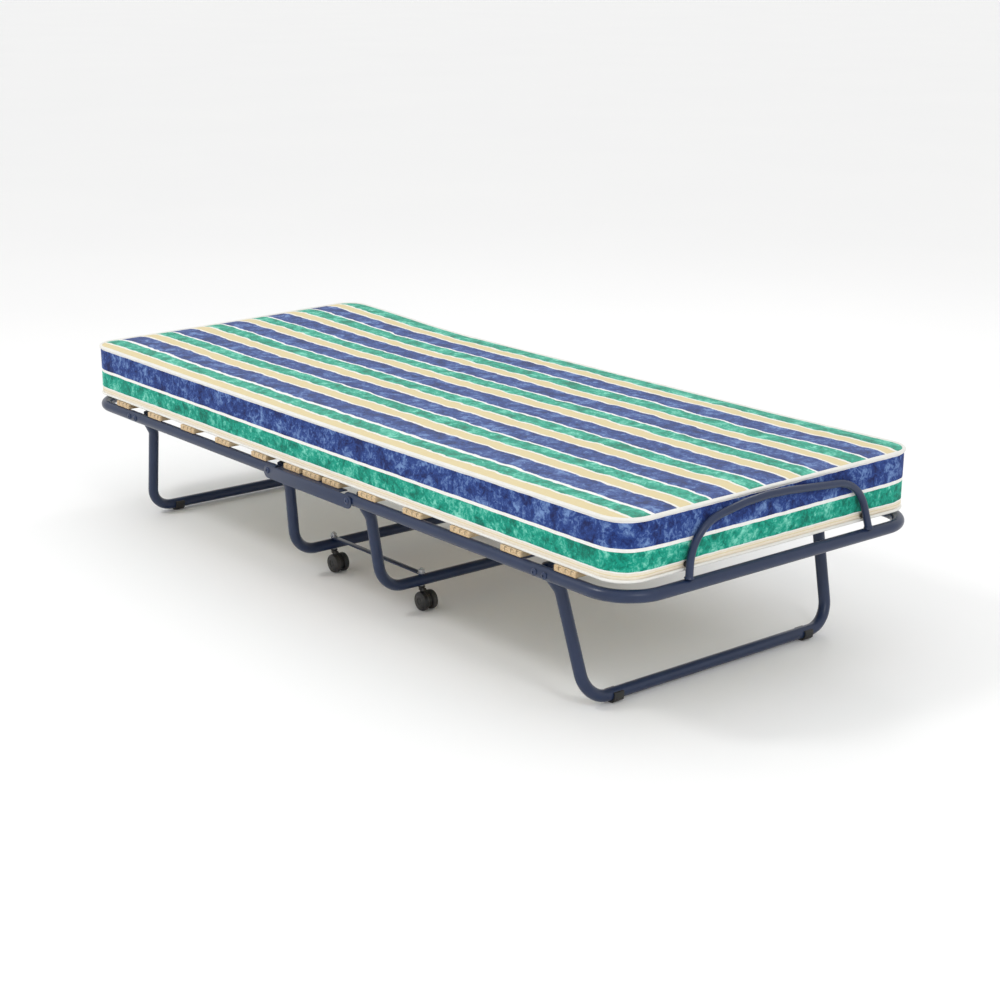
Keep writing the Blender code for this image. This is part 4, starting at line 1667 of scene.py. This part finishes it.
# ---------------------------------------------------------------- the mattress
@dataclass
class Mattress:
    """The foam mattress in its ticking, with piping round its top and bottom edges."""

    foot_x: float = -0.9775
    head_x: float = 0.969
    half_width: float = 0.402
    low_z: float = 0.2976
    high_z: float = 0.4196
    corner_radius: float = 0.062
    inset: float = 0.0015
    voxel: float = 0.008
    pressure: float = 4.0
    face_swell: float = 0.0028
    side_swell: float = 0.0095
    head_limit: float = 0.9722
    cord_radius: float = 0.0040
    low_radius: float = 0.0031
    low_gap: float = 0.0004
    top_wave: float = 0.0018
    top_wrinkle: float = 0.0016
    side_wave: float = 0.0011
    side_wrinkle: float = 0.0007
    foot_lift: float = 0.017
    head_lift: float = 0.004
    near_dip: float = 0.0035
    fill_frames: int = 20
    fullness: float = 0.9
    fold_reach: float = 0.30
    hinge_x: float = 0.151
    hinge_z: float = 0.2725
    mitre: float = 90.0

    def build(self) -> None:
        """Fill the cover, part it at the middle and sew on the piping."""
        block = self._filled_cover()
        for side in Side:
            half = self._half(block, side)
            dress(half, TICKING)
            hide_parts(f"mattress_{side.label}")
            if side is Side.RIGHT:
                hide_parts("mattress_centre")
            self._hang(half, side)
            for name, radius, height in (("top", self.cord_radius, self.high_z - self.cord_radius),
                                         ("low", self.low_radius, self.low_z + self.low_radius)):
                cord = self._piping(side, name, radius, height)
                dress(cord, TAPE)
                self._hang(cord, side)
        bpy.data.objects.remove(block, do_unlink=True)

    def _filled_cover(self) -> Thing:
        """The whole cover as an even mesh, blown up a little against its seams.

        Returns:
            The cover.
        """
        sunk = self.inset
        low = Vector((self.foot_x + sunk, -self.half_width + sunk, self.low_z + self.low_gap))
        high = Vector((self.head_x - sunk, self.half_width - sunk, self.high_z - sunk))
        block = box("cover_block", low, high)
        open_mesh(block)
        pick_edges(block, lambda a, b: abs(a.z - b.z) > 0.05)
        bpy.ops.mesh.bevel(offset=self.corner_radius - self.inset, segments=12)
        close_up(block)
        remesh = block.modifiers.new("even mesh", "REMESH")
        remesh.mode = "VOXEL"
        remesh.voxel_size = self.voxel * 1
        settle(block)
        rest = self._points(block)
        self._pin_seams(block, rest, low, high)
        moved = self._blow_up(block)
        moved = self._hold_back(rest, moved, low, high)
        block.data.vertices.foreach_set("co", moved.astype(np.float32).ravel())
        self._remember_place(block, rest)
        block.data.update()
        log.info("cover: %d points, moved up to %.1f mm", len(rest),
                 1000 * float(np.abs(moved - rest).max()))
        return block

    @staticmethod
    def _points(thing: Thing) -> np.ndarray:
        """The mesh's points as an array.

        Args:
            thing: The piece.

        Returns:
            One row of X, Y and Z a point.
        """
        flat = np.zeros(len(thing.data.vertices) * 3, np.float32)
        thing.data.vertices.foreach_get("co", flat)
        return flat.reshape(-1, 3).astype(float)

    def _pin_seams(self, block: Thing, rest: np.ndarray, low: Vector, high: Vector) -> None:
        """Hold the cover along its top and bottom seams while it fills.

        Args:
            block: The cover.
            rest: Its points.
            low: The block's lowest corner.
            high: The block's highest corner.
        """
        near_low = rest[:, 2] - low.z
        near_high = high.z - rest[:, 2]
        edge = self._edge_distance(rest, low, high)
        close = (edge < self.voxel * 0.9) & (np.minimum(near_low, near_high) < self.voxel * 0.9)
        group = block.vertex_groups.new(name="seams")
        group.add([int(index) for index in np.nonzero(close)[0]], 1.0, "REPLACE")

    def _edge_distance(self, points: np.ndarray, low: Vector, high: Vector) -> np.ndarray:
        """How far inside the rounded plan outline each point lies.

        Args:
            points: The points.
            low: The block's lowest corner.
            high: The block's highest corner.

        Returns:
            The distances.
        """
        radius = self.corner_radius - self.inset
        centre = np.array([(low.x + high.x) / 2, (low.y + high.y) / 2])
        half = np.array([(high.x - low.x) / 2, (high.y - low.y) / 2])
        away = np.abs(points[:, :2] - centre) - (half - radius)
        outside = np.linalg.norm(np.maximum(away, 0.0), axis=1)
        inside = np.minimum(np.max(away, axis=1), 0.0)
        return radius - (outside + inside)

    def _blow_up(self, block: Thing) -> np.ndarray:
        """Run the cloth with a little air in it and read where the points went.

        Args:
            block: The cover, with its seams group.

        Returns:
            The points after the simulation.
        """
        cloth = block.modifiers.new("fill", "CLOTH")
        settings = cloth.settings
        settings.use_pressure = True
        settings.uniform_pressure_force = self.pressure
        settings.effector_weights.gravity = 0.0
        settings.vertex_group_mass = "seams"
        settings.quality = 4
        settings.tension_stiffness = 30.0
        settings.bending_stiffness = 1.5
        cloth.point_cache.frame_start, cloth.point_cache.frame_end = 1, self.fill_frames
        scene = bpy.context.scene
        for number in range(1, self.fill_frames + 1):
            scene.frame_set(number)
        take_up(block)
        bpy.ops.object.modifier_apply(modifier=cloth.name)
        scene.frame_set(1)
        return self._points(block)

    def _hold_back(self, rest: np.ndarray, moved: np.ndarray, low: Vector, high: Vector) -> np.ndarray:
        """Cap the swelling, keep the underside on the slats and add the foam's unevenness.

        Args:
            rest: The cover's points before filling.
            moved: The points after it.
            low: The block's lowest corner.
            high: The block's highest corner.

        Returns:
            The points to keep.
        """
        shift = moved - rest
        length = np.linalg.norm(shift, axis=1)
        top = rest[:, 2] > high.z - 0.002
        bottom = rest[:, 2] < low.z + 0.002
        cap = np.where(top | bottom, self.face_swell, self.side_swell)
        shift *= (cap * np.tanh(length / cap) / np.maximum(length, 1e-9))[:, None]
        edge = np.clip(self._edge_distance(rest, low, high) / 0.05, 0.0, 1.0)
        wave = np.array([noise.noise(Vector((x * 5.5, y * 7.0, z * 6.0))) for x, y, z in rest])
        wrinkle = np.array([noise.noise(Vector((x * 24.0, y * 13.0, z * 16.0 + 7.0)))
                            for x, y, z in rest])
        shift[:, 2] += np.where(top, (self.top_wave * wave + self.top_wrinkle * wrinkle) * edge, 0.0)
        level = np.clip((high.z - rest[:, 2]) * (rest[:, 2] - low.z) / 0.0028, 0.0, 1.0)
        centre = np.array([(low.x + high.x) / 2, (low.y + high.y) / 2])
        from_centre = rest[:, :2] - centre
        rim = np.array([high.x, high.y]) - centre - 0.02
        outward = np.sign(from_centre) * (np.abs(from_centre) > rim)
        ripple = (self.side_wave * wave + self.side_wrinkle * wrinkle) * level * ~(top | bottom)
        shift[:, :2] += outward * ripple[:, None]
        kept = rest + shift
        kept[bottom, 2] = np.maximum(kept[bottom, 2], low.z)
        kept[:, 0] = np.minimum(kept[:, 0], self.head_limit)
        kept[:, 2] += self._lie(rest)
        return kept

    def _lie(self, points: np.ndarray) -> np.ndarray:
        """How the mattress lies off a flat plane: one corner rises and the near edge dips.

        Args:
            points: Points of the flat mattress.

        Returns:
            How much higher each point is; nothing at the underside.
        """
        x, y = points[:, 0], points[:, 1]
        across = np.clip((y + self.half_width) / (2 * self.half_width), 0.0, 1.0)
        along = np.clip((-x - 0.45) / 0.53, 0.0, 1.0)
        lifted = self.foot_lift * along * along * (3 - 2 * along) * (0.12 + 0.88 * across ** 1.5)
        head = np.clip((x - 0.55) / 0.42, 0.0, 1.0)
        lifted += self.head_lift * head * head * (3 - 2 * head) * across
        near = np.exp(-((y + self.half_width) / 0.16) ** 2)
        dipped = self.near_dip * np.exp(-((x - 0.05) / 0.5) ** 2) * near
        rise = np.clip((points[:, 2] - self.low_z) / (self.high_z - self.low_z), 0.0, 1.0)
        return (lifted - dipped) * rise

    @staticmethod
    def _remember_place(thing: Thing, places: np.ndarray) -> None:
        """Store where each point lay on the flat cover, for the print and the weave."""
        stored = thing.data.attributes.new(CLOTH_PLACE, "FLOAT_VECTOR", "POINT")
        stored.data.foreach_set("vector", places.astype(np.float32).ravel())

    def _half(self, block: Thing, side: Side) -> Thing:
        """Cut the cover at the middle of the bed and keep one half, its cut closed.

        Args:
            block: The whole cover.
            side: The half to keep.

        Returns:
            The half.
        """
        half = copy_to(block, f"mattress_half_{side.label}", Vector())
        open_mesh(half)
        bpy.ops.mesh.bisect(plane_co=(0, 0, 0), plane_no=(side.value, 0, 0), use_fill=True,
                            clear_inner=True)
        return shade(close_up(half, outward=False), 60.0)

    def _piping(self, side: Side, name: str, radius: float, height: float) -> Thing:
        """Piping round one half's edge, from the middle of the bed and back to it.

        Args:
            side: The half.
            name: Which edge, for the piece's name.
            radius: The cord's radius.
            height: The cord's centre.

        Returns:
            The piping.
        """
        sunk = self.inset + 0.0012
        end = (self.head_x if side is Side.RIGHT else self.foot_x) - side.value * sunk
        across = (self.half_width - sunk) * side.value
        corners = [Vector((0, -across, height)), Vector((end, -across, height)),
                   Vector((end, across, height)), Vector((0, across, height))]
        bender = TubeBender(radius, 14, math.radians(7.5))
        cord = bender.draw(f"piping_{name}_{side.label}", corners, [self.corner_radius - sunk] * 2,
                           (), Mouth(0.0, 0.0001), 0.012)
        places = self._points(cord)
        wobble = np.array([noise.noise(Vector((x * 9.0, y * 9.0, height * 40))) for x, y, _ in places])
        moved = places.copy()
        moved[:, 2] += 0.0006 * wobble + self._lie(places)
        cord.data.vertices.foreach_set("co", moved.astype(np.float32).ravel())
        self._remember_place(cord, places)
        return cord

    def _hang(self, thing: Thing, side: Side) -> None:
        """Let a half's piece bend from the centre section up on to its folding half.

        Here each point's share grows with its bearing from the hinge, over a right angle about the
        upright, so that a full fold gathers that wedge towards a mitre line.

        Args:
            thing: The finished piece.
            side: The half that it lies on.
        """
        sign = side.value
        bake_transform(thing, "centre_section", f"{side.label}_half",
                 start=(0.0, 0.0, self.low_z), end=(sign * self.fold_reach, 0.0, self.low_z))
        points = self._points(thing)
        beyond = points[:, 0] * sign - self.hinge_x
        bearing = np.degrees(np.arctan2(beyond, points[:, 2] - self.hinge_z))
        weights = np.clip(0.5 + bearing / self.mitre, 0.0, 1.0)
        thing.data.attributes[KIT_WEIGHTS].data.foreach_set("value", weights.astype(np.float32))
        log.info("%s: %d faces", thing.name, len(thing.data.polygons))


# ---------------------------------------------------------------- the studio
@dataclass
class Studio:
    """Pale floor, soft lights and the camera."""

    camera_place: Place = (3.2646, -2.5916, 1.3966)
    camera_turn: Place = (math.pi / 2 - 0.3001, 0.0, 0.8978)
    lens: float = 68.32
    shift_x: float = 0.03775
    shift_y: float = 0.02305
    ambient: float = 0.95
    floor_size: float = 240.0
    floor_drop: float = 0.0002
    aim: Place = (0.0, 0.0, 0.25)

    def build(self) -> None:
        """Lay the floor, hang the lights and set the camera."""
        scene = bpy.context.scene
        scene.view_settings.view_transform = "Standard"
        stand_back()
        bpy.ops.mesh.primitive_plane_add(size=self.floor_size, location=(0, 0, -self.floor_drop))
        floor = settle(bpy.context.object)
        floor.name = "studio_floor"
        dress(floor, Floor("studio floor"))
        world = bpy.data.worlds.new("studio light")
        world.use_nodes = True
        sky = world.node_tree.nodes["Background"]
        sky.inputs[0].default_value = (1.0, 1.0, 1.0, 1.0)
        sky.inputs[1].default_value = self.ambient
        scene.world = world
        self._lamp("key", (-0.8, -2.4, 3.2), 0.7, 30.0)
        self._lamp("fill", (3.4, -0.9, 2.3), 0.6, 16.0)
        self._lamp("back", (-1.2, 2.6, 2.8), 0.7, 10.0)
        camera = bpy.data.cameras.new("camera")
        camera.lens = self.lens
        camera.sensor_width = 36.0
        camera.shift_x, camera.shift_y = self.shift_x, self.shift_y
        holder = bpy.data.objects.new("camera", camera)
        holder.location = self.camera_place
        holder.rotation_euler = self.camera_turn
        scene.collection.objects.link(holder)
        scene.camera = holder

    def _lamp(self, name: str, place: Place, size: float, power: float) -> None:
        """Hang a square soft light that faces the middle of the bed.

        Args:
            name: The light's name.
            place: Where it hangs.
            size: The length of its side.
            power: Its power in watts.
        """
        light = bpy.data.lights.new(name, "AREA")
        light.size = size
        light.energy = power
        lamp = bpy.data.objects.new(name, light)
        lamp.location = place
        lamp.rotation_euler = (Vector(self.aim) - Vector(place)).to_track_quat("-Z", "Y").to_euler()
        bpy.context.scene.collection.objects.link(lamp)


def main() -> None:
    """Build every sub-assembly in order."""
    logging.basicConfig(level=logging.INFO, format="%(message)s")
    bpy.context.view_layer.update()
    makers = (Rails(), Legs(), HeadArch(), CentrePlates(), Rivets(), Castors(), Shoes(), Slats(),
              Mattress(), Studio())
    for maker in makers:
        maker.build()
        log.info("%s done", type(maker).__name__)
    stand_back()


if __name__ == "__main__":
    main()
